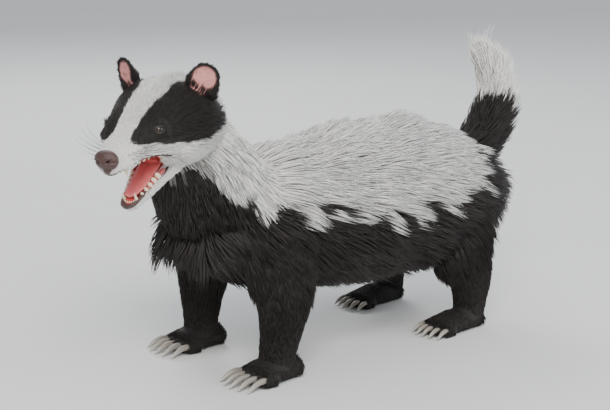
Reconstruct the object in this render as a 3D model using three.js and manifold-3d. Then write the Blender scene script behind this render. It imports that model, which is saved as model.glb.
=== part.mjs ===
// European badger, adult, life size, standing on four feet with its head raised and turned a little to
// its left, its mouth open and its tail carried up.
// Millimetres, +Z up, the floor at z = 0. The badger faces -X, so its left side is towards -Y.
import * as THREE from "three";
import { LoftGeometry } from "three/addons/geometries/LoftGeometry.js";
import { mergeVertices } from "three/addons/utils/BufferGeometryUtils.js";
import Module from "manifold-3d";

const wasm = await Module();
wasm.setup();

// Driving dimensions of the whole animal, over the tips of the coat
const BACK_HEIGHT = 303;
const BELLY_HEIGHT = 70;
const BODY_WIDTH = 266;
const STANCE_HALF_WIDTH = 84;
const FORE_FOOT_X = -150;
const HIND_FOOT_X = 172;
const FRAME_CENTRE_X = -28;

// Coat: how far the tips of the long hair stand off the skin, and the share of that depth that the
// solid core fills
const CORE_SHARE = 0.5;
const CORE_DEPTH_BODY = 24 * CORE_SHARE;
const CORE_DEPTH_TAIL = 22 * CORE_SHARE;
const COAT_SEED = 20262;

// Clearances
const SEAM = 0.3;
const HALF_SEAM = SEAM / 2;

// Head: where the skull meets the neck, and how the head is carried
const HEAD_AT = new THREE.Vector3(-268, -36, 346);
const HEAD_YAW = THREE.MathUtils.degToRad(25);
const HEAD_PITCH = THREE.MathUtils.degToRad(-13);
const MUZZLE_TIP_X = -149;
const EYE_AT = [-88, 32, 16];
const EYE_RADIUS = 6.5;
const EYE_FACING = new THREE.Vector3(-0.45, 0.86, 0.22).normalize();
const LID_THICKNESS = 1.9;

// Jaws
const JAW_PIVOT = new THREE.Vector3(-30, 0, -20);
const GAPE = THREE.MathUtils.degToRad(26);

// Legs and feet
const LEG_TOP = 122;
const WRIST_HEIGHT = 36;
const TOES = 5;

// Materials
function coat(color) {
  return new THREE.MeshStandardMaterial({ color, roughness: 0.85, metalness: 0 });
}
const PALE_COAT = coat(0xe4e2da);
const GREY_COAT = coat(0xcfccc2);
const BLACK_COAT = coat(0x1c1a19);
const NOSE_LEATHER = new THREE.MeshStandardMaterial({ color: 0x4a2a22, roughness: 0.45, metalness: 0 });
const WET_FLESH = new THREE.MeshStandardMaterial({ color: 0xc0343a, roughness: 0.35, metalness: 0 });
const CLAW_HORN = new THREE.MeshStandardMaterial({ color: 0xa8a39a, roughness: 0.4, metalness: 0 });
const EYE_GLASS = new THREE.MeshStandardMaterial({ color: 0x14100e, roughness: 0.08, metalness: 0 });

// Solids

function solidOf(geometry) {
  const bare = new THREE.BufferGeometry();
  bare.setAttribute("position", geometry.getAttribute("position"));
  if (geometry.index) bare.setIndex(geometry.index);
  const merged = mergeVertices(bare, 1e-3);
  const mesh = new wasm.Mesh({
    numProp: 3,
    vertProperties: new Float32Array(merged.attributes.position.array),
    triVerts: new Uint32Array(merged.index.array),
  });
  return new wasm.Manifold(mesh);
}

function joined(solids) {
  return solids.reduce((whole, piece) => whole.add(piece));
}

// The largest closed body of a solid
function largest(solid) {
  const bodies = solid.decompose();
  return bodies.reduce((best, body) => (body.volume() > best.volume() ? body : best));
}

const SMALLEST_EDGE = 0.06;

function meshOf(name, solid, material) {
  const { vertProperties, triVerts } = largest(solid.simplify(SMALLEST_EDGE)).getMesh();
  const geometry = new THREE.BufferGeometry();
  geometry.setAttribute("position", new THREE.BufferAttribute(vertProperties, 3));
  geometry.setIndex(new THREE.BufferAttribute(triVerts, 1));
  geometry.computeVertexNormals();
  const mesh = new THREE.Mesh(geometry, material);
  mesh.name = name;
  return mesh;
}

// Everything on the side of a plane that its normal points to
const FAR = 1500;

function beyond(point, normal) {
  const box = new THREE.BoxGeometry(FAR, FAR, FAR);
  box.translate(0, 0, FAR / 2);
  const turn = new THREE.Quaternion().setFromUnitVectors(new THREE.Vector3(0, 0, 1), normal);
  box.applyQuaternion(turn);
  box.translate(point.x, point.y, point.z);
  return solidOf(box);
}

function above(z) {
  return beyond(new THREE.Vector3(0, 0, z), new THREE.Vector3(0, 0, 1));
}

function below(z) {
  return beyond(new THREE.Vector3(0, 0, z), new THREE.Vector3(0, 0, -1));
}

function ellipsoid(centre, radii, sides = 12, turn = null) {
  const ball = new THREE.SphereGeometry(1, sides, Math.round(sides * 0.7));
  ball.scale(...radii);
  if (turn) ball.applyQuaternion(turn);
  ball.translate(...centre);
  return solidOf(ball);
}

// Lofts

// Catmull-Rom value between the rows of a table, at a place counted in rows
function between(rows, place, column) {
  const last = rows.length - 1;
  const i = Math.min(Math.floor(place), last - 1);
  const t = place - i;
  const at = (k) => {
    if (k < 0) return 2 * rows[0][column] - rows[1][column];
    if (k > last) return 2 * rows[last][column] - rows[last - 1][column];
    return rows[k][column];
  };
  const [a, b, c, d] = [at(i - 1), at(i), at(i + 1), at(i + 2)];
  return b + 0.5 * t * (c - a + t * (2 * a - 5 * b + 4 * c - d + t * (3 * (b - c) + d - a)));
}

const UPWARD = new THREE.Vector3(0, 0, 1);
const FORWARD = new THREE.Vector3(-1, 0, 0);
const SIDEWAYS = new THREE.Vector3(0, 1, 0);
const PATH_STEP = 0.02;

// A station is a row of x, y, z, up, down, side: a section's centre and its half sizes.
// The section stands square to the path, with its up direction as near to reference as it can be.
function sectionAt(stations, place, reference) {
  const last = stations.length - 1;
  const point = (s) => new THREE.Vector3(...[0, 1, 2].map((k) => between(stations, s, k)));
  const centre = point(place);
  const ahead = point(Math.min(place + PATH_STEP, last));
  const tangent = ahead.sub(point(Math.max(place - PATH_STEP, 0))).normalize();
  const up = reference.clone().addScaledVector(tangent, -reference.dot(tangent)).normalize();
  const side = new THREE.Vector3().crossVectors(tangent, up);
  const sizes = [3, 4, 5].map((k) => between(stations, place, k));
  return { centre, tangent, up, side, sizes };
}

function surfacePoint(section, angle, grow, shrink = 1) {
  const [high, low, wide] = section.sizes;
  const lift = Math.cos(angle) * ((Math.cos(angle) > 0 ? high : low) + grow) * shrink;
  const out = Math.sin(angle) * (wide + grow) * shrink;
  return section.centre.clone().addScaledVector(section.up, lift).addScaledVector(section.side, out);
}

const PLAIN_DOME = [0.5, 0.87];
const BLUNT_DOME = [0.75];

// A closed body along a path of stations, with a rounded dome of the given length at either end
function loft(stations, { rings, sides, domes, steps = PLAIN_DOME, reference = UPWARD, grow = 0 }) {
  const last = stations.length - 1;
  const ringOf = (section, shrink, shift) => {
    const ring = [];
    for (let i = 0; i < sides; i++) {
      const point = surfacePoint(section, (2 * Math.PI * i) / sides, grow, shrink);
      ring.push(point.addScaledVector(section.tangent, shift));
    }
    return ring;
  };
  const dome = (section, length) => {
    const reach = Math.sign(length) * Math.max(Math.abs(length) + grow, 1);
    return steps.map((share) => ringOf(section, Math.sqrt(1 - share * share), share * reach));
  };
  const first = sectionAt(stations, 0, reference);
  const end = sectionAt(stations, last, reference);
  const body = [];
  for (let i = 0; i <= rings; i++) {
    body.push(ringOf(sectionAt(stations, (last * i) / rings, reference), 1, 0));
  }
  const sections = [...dome(first, -domes[0]).reverse(), ...body, ...dome(end, domes[1])];
  return solidOf(new LoftGeometry(sections, { capStart: true, capEnd: true }));
}

// Locks of hair

// A seeded draw of numbers between -1 and 1
function drawFrom(seed) {
  let state = seed;
  return () => {
    state = (Math.imul(state, 1664525) + 1013904223) >>> 0;
    return state / 2 ** 31 - 1;
  };
}

// Distances along a path, and the place in rows at each of them
const MEASURE_STEP = 0.05;

function measured(stations) {
  const last = stations.length - 1;
  const point = (place) => new THREE.Vector3(...[0, 1, 2].map((k) => between(stations, place, k)));
  const places = [0];
  const distances = [0];
  for (let place = MEASURE_STEP; place <= last + MEASURE_STEP / 2; place += MEASURE_STEP) {
    const step = point(Math.min(place, last)).distanceTo(point(places[places.length - 1]));
    places.push(Math.min(place, last));
    distances.push(distances[distances.length - 1] + step);
  }
  const placeAt = (distance) => {
    const i = Math.max(distances.findIndex((d) => d >= distance), 1);
    const share = (distance - distances[i - 1]) / (distances[i] - distances[i - 1]);
    return THREE.MathUtils.lerp(places[i - 1], places[i], THREE.MathUtils.clamp(share, 0, 1));
  };
  const distanceAt = (place) => distances[Math.round(place / MEASURE_STEP)];
  return { total: distances[distances.length - 1], placeAt, distanceAt };
}

// The skin of a core along a path: the point and the normal at a distance along it and an angle
// round it, with the end of the path rounded over at the given radius
function skinOf(core, stations, reference, endRadius) {
  const { vertProperties, triVerts } = core.getMesh();
  const geometry = new THREE.BufferGeometry();
  geometry.setAttribute("position", new THREE.BufferAttribute(vertProperties, 3));
  geometry.setIndex(new THREE.BufferAttribute(triVerts, 1));
  const mesh = new THREE.Mesh(geometry, new THREE.MeshBasicMaterial({ side: THREE.DoubleSide }));
  const caster = new THREE.Raycaster();
  const path = measured(stations);
  const at = (distance, angle) => {
    const section = sectionAt(stations, path.placeAt(Math.min(distance, path.total)), reference);
    const over = Math.min(Math.max(distance - path.total, 0) / endRadius, Math.PI / 2);
    const outward = section.up.clone().multiplyScalar(Math.cos(angle));
    outward.addScaledVector(section.side, Math.sin(angle)).multiplyScalar(Math.cos(over));
    outward.addScaledVector(section.tangent, Math.sin(over));
    caster.set(section.centre, outward);
    const hit = caster.intersectObject(mesh)[0];
    const normal = hit.face.normal.clone().add(outward).normalize();
    const plain = surfacePoint(section, angle, 0).distanceTo(section.centre);
    return { point: hit.point, normal, bulge: hit.distance - plain };
  };
  return { at, path };
}

// A lock's width, thickness and height above the core at each share of its length
const LOCK_SHARES = [0, 0.4, 0.75, 1];
const LOCK_WIDTHS = [0.8, 1, 0.68, 0.06];
const LOCK_THICKNESSES = [1, 1, 0.7, 0.2];
const LIFT_POWER = 1.8;

// The centre line of a lock that springs from a root on the skin and lies back along it
function lockLine(skin, root, size) {
  return LOCK_SHARES.map((share) => {
    const turn = (size.droop * Math.sin(root.angle) + root.sway) * share ** 1.4;
    const { point, normal, bulge } = skin.at(root.distance + share * root.length, root.angle + turn);
    const height = (size.rise + size.sink) * (1 - (1 - share) ** LIFT_POWER) - size.sink;
    return { centre: point.clone().addScaledVector(normal, height), normal, bulge };
  });
}

// A lock as a flat strip with a low ridge along its middle, tapered to its tip
function lockForm(line, width, thickness, grow = 0) {
  const flatTo = line.reduce((sum, { normal }) => sum.add(normal), new THREE.Vector3()).normalize();
  const last = line.length - 1;
  const sections = line.map(({ centre }, i) => {
    const along = line[Math.min(i + 1, last)].centre.clone().sub(line[Math.max(i - 1, 0)].centre);
    const side = along.clone().cross(flatTo).normalize();
    const up = side.clone().cross(along).normalize();
    const halfWidth = (LOCK_WIDTHS[i] * width) / 2 + grow;
    const halfThickness = (LOCK_THICKNESSES[i] * thickness) / 2 + grow;
    const corner = (direction, reach) => centre.clone().addScaledVector(direction, reach);
    return [
      corner(up, halfThickness),
      corner(side, halfWidth),
      corner(up, -halfThickness),
      corner(side, -halfWidth),
    ];
  });
  return solidOf(new LoftGeometry(sections, { capStart: true, capEnd: true }));
}

const FULL_TURN = 2 * Math.PI;
const GIRTH_SAMPLES = 12;

function girthAt(skin, distance) {
  let girth = 0;
  for (let k = 0; k < GIRTH_SAMPLES; k++) {
    const here = skin.at(distance, (k * FULL_TURN) / GIRTH_SAMPLES).point;
    girth += here.distanceTo(skin.at(distance, ((k + 1) * FULL_TURN) / GIRTH_SAMPLES).point);
  }
  return girth;
}

// Shares of the pitch, the row's distance and the length by which locks differ from one another
const PITCH_JITTER = 0.06;
const ROW_JITTER = 0.07;
const LENGTH_JITTER = 0.08;

// Rows of locks round a skin, each row set half a lock's pitch round from the one before it
function coatOf(skin, size, { from, to, allowed }) {
  const draw = drawFrom(COAT_SEED);
  const locks = [];
  const rows = Math.round((to - from) / size.row);
  for (let row = 0; row <= rows; row++) {
    const distance = from + (row * (to - from)) / rows;
    const around = girthAt(skin, distance);
    const count = Math.max(Math.round(around / size.pitch), 3);
    for (let k = 0; k < count; k++) {
      const root = {
        angle: ((k + (row % 2) / 2 + PITCH_JITTER * draw()) * FULL_TURN) / count,
        distance: distance + ROW_JITTER * size.row * draw(),
        length: size.length * (1 + LENGTH_JITTER * draw()),
        sway: size.sway * draw(),
      };
      const line = lockLine(skin, root, size);
      const width = (size.cover * around) / count;
      if (allowed(line)) locks.push({ line, width });
    }
  }
  return locks;
}

// Torso

// Fractions of the back's height, the belly's height and the body's width at each place along it
const TORSO_PROFILE = [
  // x, top, bottom, width
  [-226, 0.87, 1.95, 0.56],
  [-165, 0.955, 1.4, 0.79],
  [-75, 0.965, 1.1, 0.9],
  [30, 0.992, 1.0, 0.98],
  [125, 1.0, 1.07, 1.0],
  [205, 0.935, 1.48, 0.9],
  [254, 0.8, 2.1, 0.62],
];
const WIDEST_SHARE = 0.44;
const TORSO = TORSO_PROFILE.map(([x, top, bottom, width]) => {
  const high = top * BACK_HEIGHT;
  const low = bottom * BELLY_HEIGHT;
  const middle = low + WIDEST_SHARE * (high - low);
  return [x, 0, middle, high - middle, middle - low, (width * BODY_WIDTH) / 2];
});

function torsoForm(grow) {
  return loft(TORSO, { rings: 10, sides: 22, domes: [20, 34], grow });
}

// Neck

const NECK = [
  [-150, 0, 206, 78, 92, 98],
  [-190, -5, 238, 78, 84, 89],
  [-220, -14, 274, 71, 74, 79],
  [-245, -24, 308, 60, 62, 69],
  [-270, -35, 338, 47, 48, 58],
];

function neckForm(grow) {
  return loft(NECK, { rings: 6, sides: 20, domes: [10, 10], steps: BLUNT_DOME, grow });
}

const NECK_TORSO_CUT = 1.2;
const NECK_HEAD_CUT = 3.05;

// Head, in its own frame: the nose towards -X, the skull's base at the origin

const HEAD_MATRIX = new THREE.Matrix4().compose(
  HEAD_AT,
  new THREE.Quaternion().setFromEuler(new THREE.Euler(0, HEAD_PITCH, HEAD_YAW, "ZYX")),
  new THREE.Vector3(1, 1, 1),
);
const TO_HEAD = HEAD_MATRIX.clone().invert();

const HEAD_PROFILE = [
  // x, top, bottom, half width
  [22, 36, -46, 50],
  [-8, 46, -56, 62],
  [-38, 50, -54, 63],
  [-64, 45, -41, 53],
  [-87, 35, -27, 40],
  [-108, 25, -20, 30],
  [-129, 18, -18, 25.5],
  [-143, 14, -17, 22],
];

function stationsOf(profile) {
  return profile.map(([x, top, bottom, side]) => {
    const half = (top - bottom) / 2;
    return [x, 0, bottom + half, half, half, side];
  });
}

function headForm(grow) {
  return loft(stationsOf(HEAD_PROFILE), { rings: 11, sides: 20, domes: [10, 7], steps: BLUNT_DOME, grow });
}

function mirrored(side, [x, y, z]) {
  return [x, side * y, z];
}

// A tooth: a cone that points up or down from the gum
const TOOTH_SIDES = 4;

function tooth([x, y, z], radius, height, direction) {
  const cone = new THREE.ConeGeometry(radius, height, TOOTH_SIDES, 1);
  cone.rotateX((direction * Math.PI) / 2);
  cone.translate(x, y, z + (direction * height) / 2);
  return solidOf(cone);
}

// Rows of teeth along one jaw: three incisors, a canine and four cheek teeth on each side
const ROOT_DEPTH = 4;

function toothRow({ gum, direction, canine, incisors, cheek }) {
  const rootZ = gum - ROOT_DEPTH * direction;
  const teeth = [];
  const add = (x, y, radius, height) => {
    teeth.push(tooth([x, y, rootZ], radius, height + ROOT_DEPTH, direction));
  };
  for (const side of [-1, 1]) {
    add(canine.x, side * canine.y, canine.radius, canine.height);
    for (let i = 0; i < 3; i++) {
      add(incisors.x + 0.5 * i * i, side * incisors.spacing * (i + 0.5), incisors.radius, incisors.height);
    }
    for (let i = 0; i < 4; i++) {
      const share = i / 3;
      const x = THREE.MathUtils.lerp(cheek.front[0], cheek.back[0], share);
      const y = THREE.MathUtils.lerp(cheek.front[1], cheek.back[1], share);
      add(x, side * y, cheek.radius * (1 + 0.35 * share), cheek.height);
    }
  }
  return joined(teeth);
}

const UPPER_TEETH = {
  gum: -14,
  direction: -1,
  canine: { x: -136, y: 13, radius: 3.6, height: 14 },
  incisors: { x: -146, spacing: 3.6, radius: 1.9, height: 6 },
  cheek: { front: [-125, 17], back: [-92, 24], radius: 3.2, height: 7 },
};

// The hollow of the palate, between the upper lips
const PALATE = [
  [-60, 0, -23, 9, 14, 22],
  [-90, 0, -20, 8, 14, 23],
  [-118, 0, -18, 7, 14, 19],
  [-137, 0, -17, 5, 14, 13.5],
];

function palateHollow() {
  return loft(PALATE, { rings: 4, sides: 10, domes: [6, 5], steps: BLUNT_DOME });
}

// Lips: a soft roll along the edge of each jaw, from one corner of the mouth round to the other
const LIP_RADIUS = 2.8;
const LIP_SUNK = -0.8;

function lipRoll({ stations, angle, places, front }, rings, grow = 0) {
  const edge = places.map((place) => surfacePoint(sectionAt(stations, place, UPWARD), angle, LIP_SUNK));
  const right = [...edge.map((point) => point.toArray()), front];
  const left = right.map((p) => mirrored(-1, p)).reverse();
  const roll = [...right, ...left].map((p) => [...p, LIP_RADIUS, LIP_RADIUS, LIP_RADIUS]);
  return loft(roll, { rings, sides: 5, domes: [LIP_RADIUS, LIP_RADIUS], steps: BLUNT_DOME, grow });
}

const UPPER_LIP = {
  stations: stationsOf(HEAD_PROFILE),
  angle: THREE.MathUtils.degToRad(128),
  places: [3.3, 4, 5, 6, 7],
  front: [-149, 4, -13],
};

// Lids: a shell over the eyeball with an almond opening
function turnedTo(facing) {
  const side = new THREE.Vector3().crossVectors(UPWARD, facing).normalize();
  const up = new THREE.Vector3().crossVectors(facing, side);
  return new THREE.Quaternion().setFromRotationMatrix(new THREE.Matrix4().makeBasis(facing, side, up));
}

function eyeFacing(side) {
  return new THREE.Vector3(EYE_FACING.x, side * EYE_FACING.y, EYE_FACING.z);
}

function lidShell(side) {
  const radius = EYE_RADIUS + LID_THICKNESS;
  return ellipsoid(mirrored(side, EYE_AT), [radius, radius * 1.12, radius], 10, turnedTo(eyeFacing(side)));
}

function eyeOpening(side) {
  const facing = eyeFacing(side);
  const centre = new THREE.Vector3(...mirrored(side, EYE_AT)).addScaledVector(facing, EYE_RADIUS + 1);
  return ellipsoid(centre.toArray(), [6, 5.6, 4.1], 8, turnedTo(facing));
}

function eyeBall(side, grow) {
  const r = EYE_RADIUS + grow;
  return ellipsoid(mirrored(side, EYE_AT), [r, r, r], 9);
}

// Nose leather with two nostrils
function noseForm(grow) {
  const pad = ellipsoid([MUZZLE_TIP_X - 1, 0, 2], [9.5 + grow, 15.5 + grow, 12.5 + grow], 12);
  const lip = ellipsoid([MUZZLE_TIP_X - 8, 0, -9], [5 + grow, 8 + grow, 7 + grow], 7);
  return pad.add(lip);
}

function nostrils() {
  return joined(
    [-1, 1].map((side) => {
      const turn = new THREE.Quaternion().setFromAxisAngle(UPWARD, side * -0.6);
      return ellipsoid([MUZZLE_TIP_X - 9, side * 7, 2], [4.5, 3, 3.4], 7, turn);
    }),
  );
}

// Ears: a rounded blade with a cup on its front
const EAR = [
  [-12, 43, 26, 6, 8, 18],
  [-12, 51, 43, 5.5, 7, 21],
  [-10, 57, 58, 4.5, 5.5, 18],
];

function earFacing(side) {
  return new THREE.Vector3(-0.88, side * 0.46, 0.1).normalize();
}

function earForm(side) {
  const stations = EAR.map(([x, y, z, ...sizes]) => [x, side * y, z, ...sizes]);
  return loft(stations, { rings: 4, sides: 10, domes: [4, 10], reference: earFacing(side) });
}

function earCup(side) {
  const facing = earFacing(side);
  const centre = new THREE.Vector3(-11, side * 53.5, 48).addScaledVector(facing, 7.5);
  return ellipsoid(centre.toArray(), [8.5, 15, 19], 9, turnedTo(facing));
}

// Lower jaw, in a frame at its hinge
const JAW_PROFILE = [
  // x, top, bottom, half width
  [6, 4, -29, 37],
  [-30, 0, -26, 32],
  [-60, 1, -20, 24],
  [-85, 3, -15, 18],
  [-101, 4, -11, 14],
];

const LOWER_LIP = {
  stations: stationsOf(JAW_PROFILE),
  angle: THREE.MathUtils.degToRad(58),
  places: [1.4, 2, 3, 4],
  front: [-107, 3.5, -1],
};

function jawForm(grow) {
  return loft(stationsOf(JAW_PROFILE), { rings: 6, sides: 14, domes: [6, 7], steps: BLUNT_DOME, grow });
}

const LOWER_TEETH = {
  gum: 0,
  direction: 1,
  canine: { x: -100, y: 9.5, radius: 3.2, height: 12 },
  incisors: { x: -106, spacing: 2.8, radius: 1.5, height: 4.5 },
  cheek: { front: [-89, 12.5], back: [-58, 18.5], radius: 3, height: 6 },
};

const JAW_FLOOR = [
  [-28, 0, 6, 14, 16, 18],
  [-60, 0, 6, 14, 12, 15.5],
  [-88, 0, 6, 12, 9, 10],
];

function jawHollow(grow) {
  return loft(JAW_FLOOR, { rings: 3, sides: 10, domes: [4, 6], steps: BLUNT_DOME, grow });
}

const TONGUE = [
  [-24, 0, -1, 6, 8, 13],
  [-50, 0, 0, 4.5, 7, 14],
  [-74, 0, 1.5, 3.5, 5, 12.5],
  [-89, 0, 4.5, 2.6, 3, 10],
];

function tongueForm() {
  return loft(TONGUE, { rings: 4, sides: 8, domes: [4, 6], steps: BLUNT_DOME });
}

// Limbs

const FORE_LEG = [
  [-160, 50, 214, 50, 50, 30],
  [-150, 74, 164, 50, 48, 36],
  [-144, 85, 116, 40, 40, 37],
  [-147, 87, 74, 32, 32, 31],
  [-151, 85, 40, 27, 27, 28],
  [-152, 84, 20, 27, 27, 29],
];
const HIND_LEG = [
  [166, 56, 210, 62, 58, 36],
  [160, 78, 162, 62, 58, 40],
  [168, 89, 115, 50, 46, 39],
  [184, 89, 76, 36, 36, 31],
  [190, 86, 44, 28, 29, 27],
  [190, 84, 22, 26, 27, 26],
];

function legForm(stations, side, grow) {
  const placed = stations.map(([x, y, z, ...sizes]) => [x, side * y, z, ...sizes]);
  return loft(placed, { rings: 6, sides: 12, domes: [10, 6], steps: BLUNT_DOME, reference: FORWARD, grow });
}

// The paws reach a little below the floor here and are cut flat at it, which gives each its sole
const FORE_PAW = {
  stations: [
    [22, 0, 13, 17, 17, 25],
    [-6, 0, 14, 18, 18, 30],
    [-32, 0, 10, 16, 14, 30],
  ],
  toeX: -38,
  toeSpread: 12.6,
  toeRadii: [14, 7.6, 9.5],
  clawLength: 30,
  clawRadius: 3.9,
};
const HIND_PAW = {
  stations: [
    [30, 0, 14, 18, 18, 22],
    [-4, 0, 13, 17, 17, 26],
    [-40, 0, 9, 14, 13, 27],
  ],
  toeX: -46,
  toeSpread: 11.2,
  toeRadii: [12.5, 6.8, 8.5],
  clawLength: 19,
  clawRadius: 3.3,
};
const SOLE_CUT = 1.5;
const TOE_ARC = 1.7;

function toePlaces(paw) {
  const places = [];
  for (let i = 0; i < TOES; i++) {
    const across = i - (TOES - 1) / 2;
    places.push([paw.toeX + TOE_ARC * across * across, across * paw.toeSpread, paw.toeRadii[2] - SOLE_CUT]);
  }
  return places;
}

function pawForm(paw, grow) {
  const toes = toePlaces(paw).map((place) => ellipsoid(place, paw.toeRadii.map((r) => r + grow), 6));
  const palm = loft(paw.stations, { rings: 2, sides: 12, domes: [8, 6], steps: BLUNT_DOME, grow });
  return palm.add(joined(toes));
}

// A claw: a curved, tapered horn from the front of its toe to just above the floor
const CLAW_FAN = 0.05;
const CLAW_TIP_HEIGHT = 2.2;

function clawForm(paw, [x, y, z], index) {
  const fan = (index - (TOES - 1) / 2) * CLAW_FAN;
  const reach = paw.clawLength;
  const base = x - paw.toeRadii[0] + 5;
  const sizes = (share) => [share, share, 0.92 * share].map((s) => s * paw.clawRadius);
  const stations = [
    [base, y, z + 2.5, ...sizes(1)],
    [base - 0.4 * reach, y + 0.4 * reach * fan, z + 3.2, ...sizes(0.84)],
    [base - 0.78 * reach, y + 0.78 * reach * fan, z * 0.72 + 1, ...sizes(0.56)],
    [base - reach, y + reach * fan, CLAW_TIP_HEIGHT, ...sizes(0.2)],
  ];
  return loft(stations, { rings: 3, sides: 4, domes: [1, 0.5], steps: [] });
}

// Tail

const TAIL = [
  [242, 0, 216, 38, 38, 39],
  [284, 0, 240, 38, 38, 39],
  [313, 0, 282, 40, 40, 40],
  [319, 0, 328, 39, 39, 39],
  [309, 0, 370, 30, 30, 30],
  [290, 0, 403, 15, 15, 15],
];
const TAIL_CUT = 0.95;

function tailForm(grow) {
  return loft(TAIL, { rings: 7, sides: 10, domes: [10, 14], reference: SIDEWAYS, grow });
}

// Assembly

const badger = new THREE.Group();
const body = new THREE.Group();
body.position.set(-FRAME_CENTRE_X, 0, 0);
badger.add(body);

function placed(solid, matrix) {
  return solid.transform(matrix.elements);
}

// A plane square to a path, as the spaces before it and after it with half a seam on each side
function cutAt(stations, place, reference = UPWARD) {
  const { centre, tangent } = sectionAt(stations, place, reference);
  const back = tangent.clone().negate();
  return {
    before: beyond(centre.clone().addScaledVector(back, HALF_SEAM), back),
    after: beyond(centre.clone().addScaledVector(tangent, HALF_SEAM), tangent),
  };
}

const neckCut = cutAt(NECK, NECK_TORSO_CUT);
const headCut = cutAt(NECK, NECK_HEAD_CUT);
const tailCut = cutAt(TAIL, TAIL_CUT, SIDEWAYS);

const SIDES = [
  ["left", -1],
  ["right", 1],
];
const legs = [FORE_LEG, HIND_LEG].flatMap((stations) => SIDES.map(([, side]) => legForm(stations, side, 0)));
const legTops = legs.map((leg) => leg.intersect(above(LEG_TOP + HALF_SEAM)));
const core = joined([torsoForm(-CORE_DEPTH_BODY), neckForm(-CORE_DEPTH_BODY)]);
const trunk = joined([core, placed(headForm(0), HEAD_MATRIX), ...legTops]);

// The coat's lie: back along the neck and the body from the head to the rump, and out along the tail
const COAT_PATH = [...NECK.slice(1).reverse(), ...TORSO.slice(2)];
const COAT_PATH_SEAM = 2.8;
const BODY_LOCK = {
  row: 68,
  pitch: 54,
  length: 106,
  cover: 0.92,
  thickness: 5.5,
  sink: 4,
  rise: CORE_DEPTH_BODY,
  droop: 0.3,
  sway: 0.1,
};
const NECK_LOCK = { ...BODY_LOCK, row: 42, pitch: 41, length: 84, thickness: 5, droop: 0.2 };
const TAIL_LOCK = {
  row: 38,
  pitch: 42,
  length: 68,
  cover: 0.85,
  thickness: 4.5,
  sink: 4,
  rise: CORE_DEPTH_TAIL,
  droop: 0,
  sway: 0.12,
};
const RUMP_RADIUS = 95;
const TAIL_TIP_RADIUS = 16;
const MOST_BULGE = 22;
const TAIL_ROOT_RADIUS = 56;

// Locks keep clear of the root of the tail and of the legs below the body
function clearOfLimbs(line) {
  const tailRoot = TAIL.slice(0, 3).map((station) => new THREE.Vector3(...station));
  return line.every(({ centre, bulge }) => {
    const nearTail = tailRoot.some((point) => centre.distanceTo(point) < TAIL_ROOT_RADIUS);
    return !nearTail && bulge < MOST_BULGE && centre.z > BELLY_HEIGHT - CORE_DEPTH_BODY;
  });
}

// Where the rows of locks start and end, as distances from the seams and from the ends of the paths
const TORSO_ROWS_START = 20;
const TORSO_ROWS_PAST_END = 40;
const NECK_ROWS_START = -71;
const NECK_ROWS_END = -28;
const TAIL_ROWS_START = 10;
const TAIL_ROWS_BEFORE_END = 4;

const bodySkin = skinOf(joined([core, ...legs]), COAT_PATH, UPWARD, RUMP_RADIUS);
const seamDistance = bodySkin.path.distanceAt(COAT_PATH_SEAM);
const torsoLocks = coatOf(bodySkin, BODY_LOCK, {
  from: seamDistance + TORSO_ROWS_START,
  to: bodySkin.path.total + TORSO_ROWS_PAST_END,
  allowed: clearOfLimbs,
});
const neckLocks = coatOf(bodySkin, NECK_LOCK, {
  from: seamDistance + NECK_ROWS_START,
  to: seamDistance + NECK_ROWS_END,
  allowed: clearOfLimbs,
});

const tailSkin = skinOf(tailForm(-CORE_DEPTH_TAIL), TAIL, SIDEWAYS, TAIL_TIP_RADIUS);
const tailLocks = coatOf(tailSkin, TAIL_LOCK, {
  from: tailSkin.path.distanceAt(TAIL_CUT) + TAIL_ROWS_START,
  to: tailSkin.path.total - TAIL_ROWS_BEFORE_END,
  allowed: () => true,
});

function locksOf(locks, size, grow = 0) {
  return joined(locks.map(({ line, width }) => lockForm(line, width, size.thickness, grow)));
}

function addLegs(name, stations, paw, footX) {
  for (const [sideName, side] of SIDES) {
    const leg = legForm(stations, side, 0);
    const shaft = leg.intersect(above(WRIST_HEIGHT + HALF_SEAM)).intersect(below(LEG_TOP - HALF_SEAM));
    body.add(meshOf(`${name}leg_${sideName}`, shaft, BLACK_COAT));

    const foot = new THREE.Group();
    foot.position.set(footX, side * STANCE_HALF_WIDTH, 0);
    body.add(foot);
    const toFoot = new THREE.Matrix4().makeTranslation(-footX, -side * STANCE_HALF_WIDTH, 0);
    const ankle = placed(leg.intersect(below(WRIST_HEIGHT - HALF_SEAM)), toFoot);
    foot.add(meshOf(`${name}paw_${sideName}`, pawForm(paw, 0).add(ankle).intersect(above(0)), BLACK_COAT));
    const clearOf = pawForm(paw, SEAM);
    toePlaces(paw).forEach((place, index) => {
      const claw = clawForm(paw, place, index).subtract(clearOf);
      foot.add(meshOf(`${name}claw_${sideName}_${index + 1}`, claw, CLAW_HORN));
    });
  }
}

function addTorso() {
  let torso = trunk.add(locksOf(torsoLocks, BODY_LOCK)).intersect(neckCut.before);
  torso = torso.subtract(locksOf(neckLocks, NECK_LOCK, SEAM));
  for (const stations of [FORE_LEG, HIND_LEG]) {
    for (const [, side] of SIDES) {
      torso = torso.subtract(legForm(stations, side, SEAM).intersect(below(LEG_TOP + HALF_SEAM)));
    }
  }
  torso = torso.add(tailForm(-CORE_DEPTH_TAIL).intersect(tailCut.before));
  torso = torso.subtract(tailForm(SEAM - CORE_DEPTH_TAIL).intersect(tailCut.after));
  body.add(meshOf("torso", torso, GREY_COAT));
}

function addNeck() {
  const neck = trunk.intersect(neckCut.after).add(locksOf(neckLocks, NECK_LOCK));
  body.add(meshOf("neck", neck.intersect(headCut.before), PALE_COAT));
}

function addTail() {
  const tail = tailForm(-CORE_DEPTH_TAIL).intersect(tailCut.after);
  body.add(meshOf("tail", tail.add(locksOf(tailLocks, TAIL_LOCK)), PALE_COAT));
}

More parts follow.
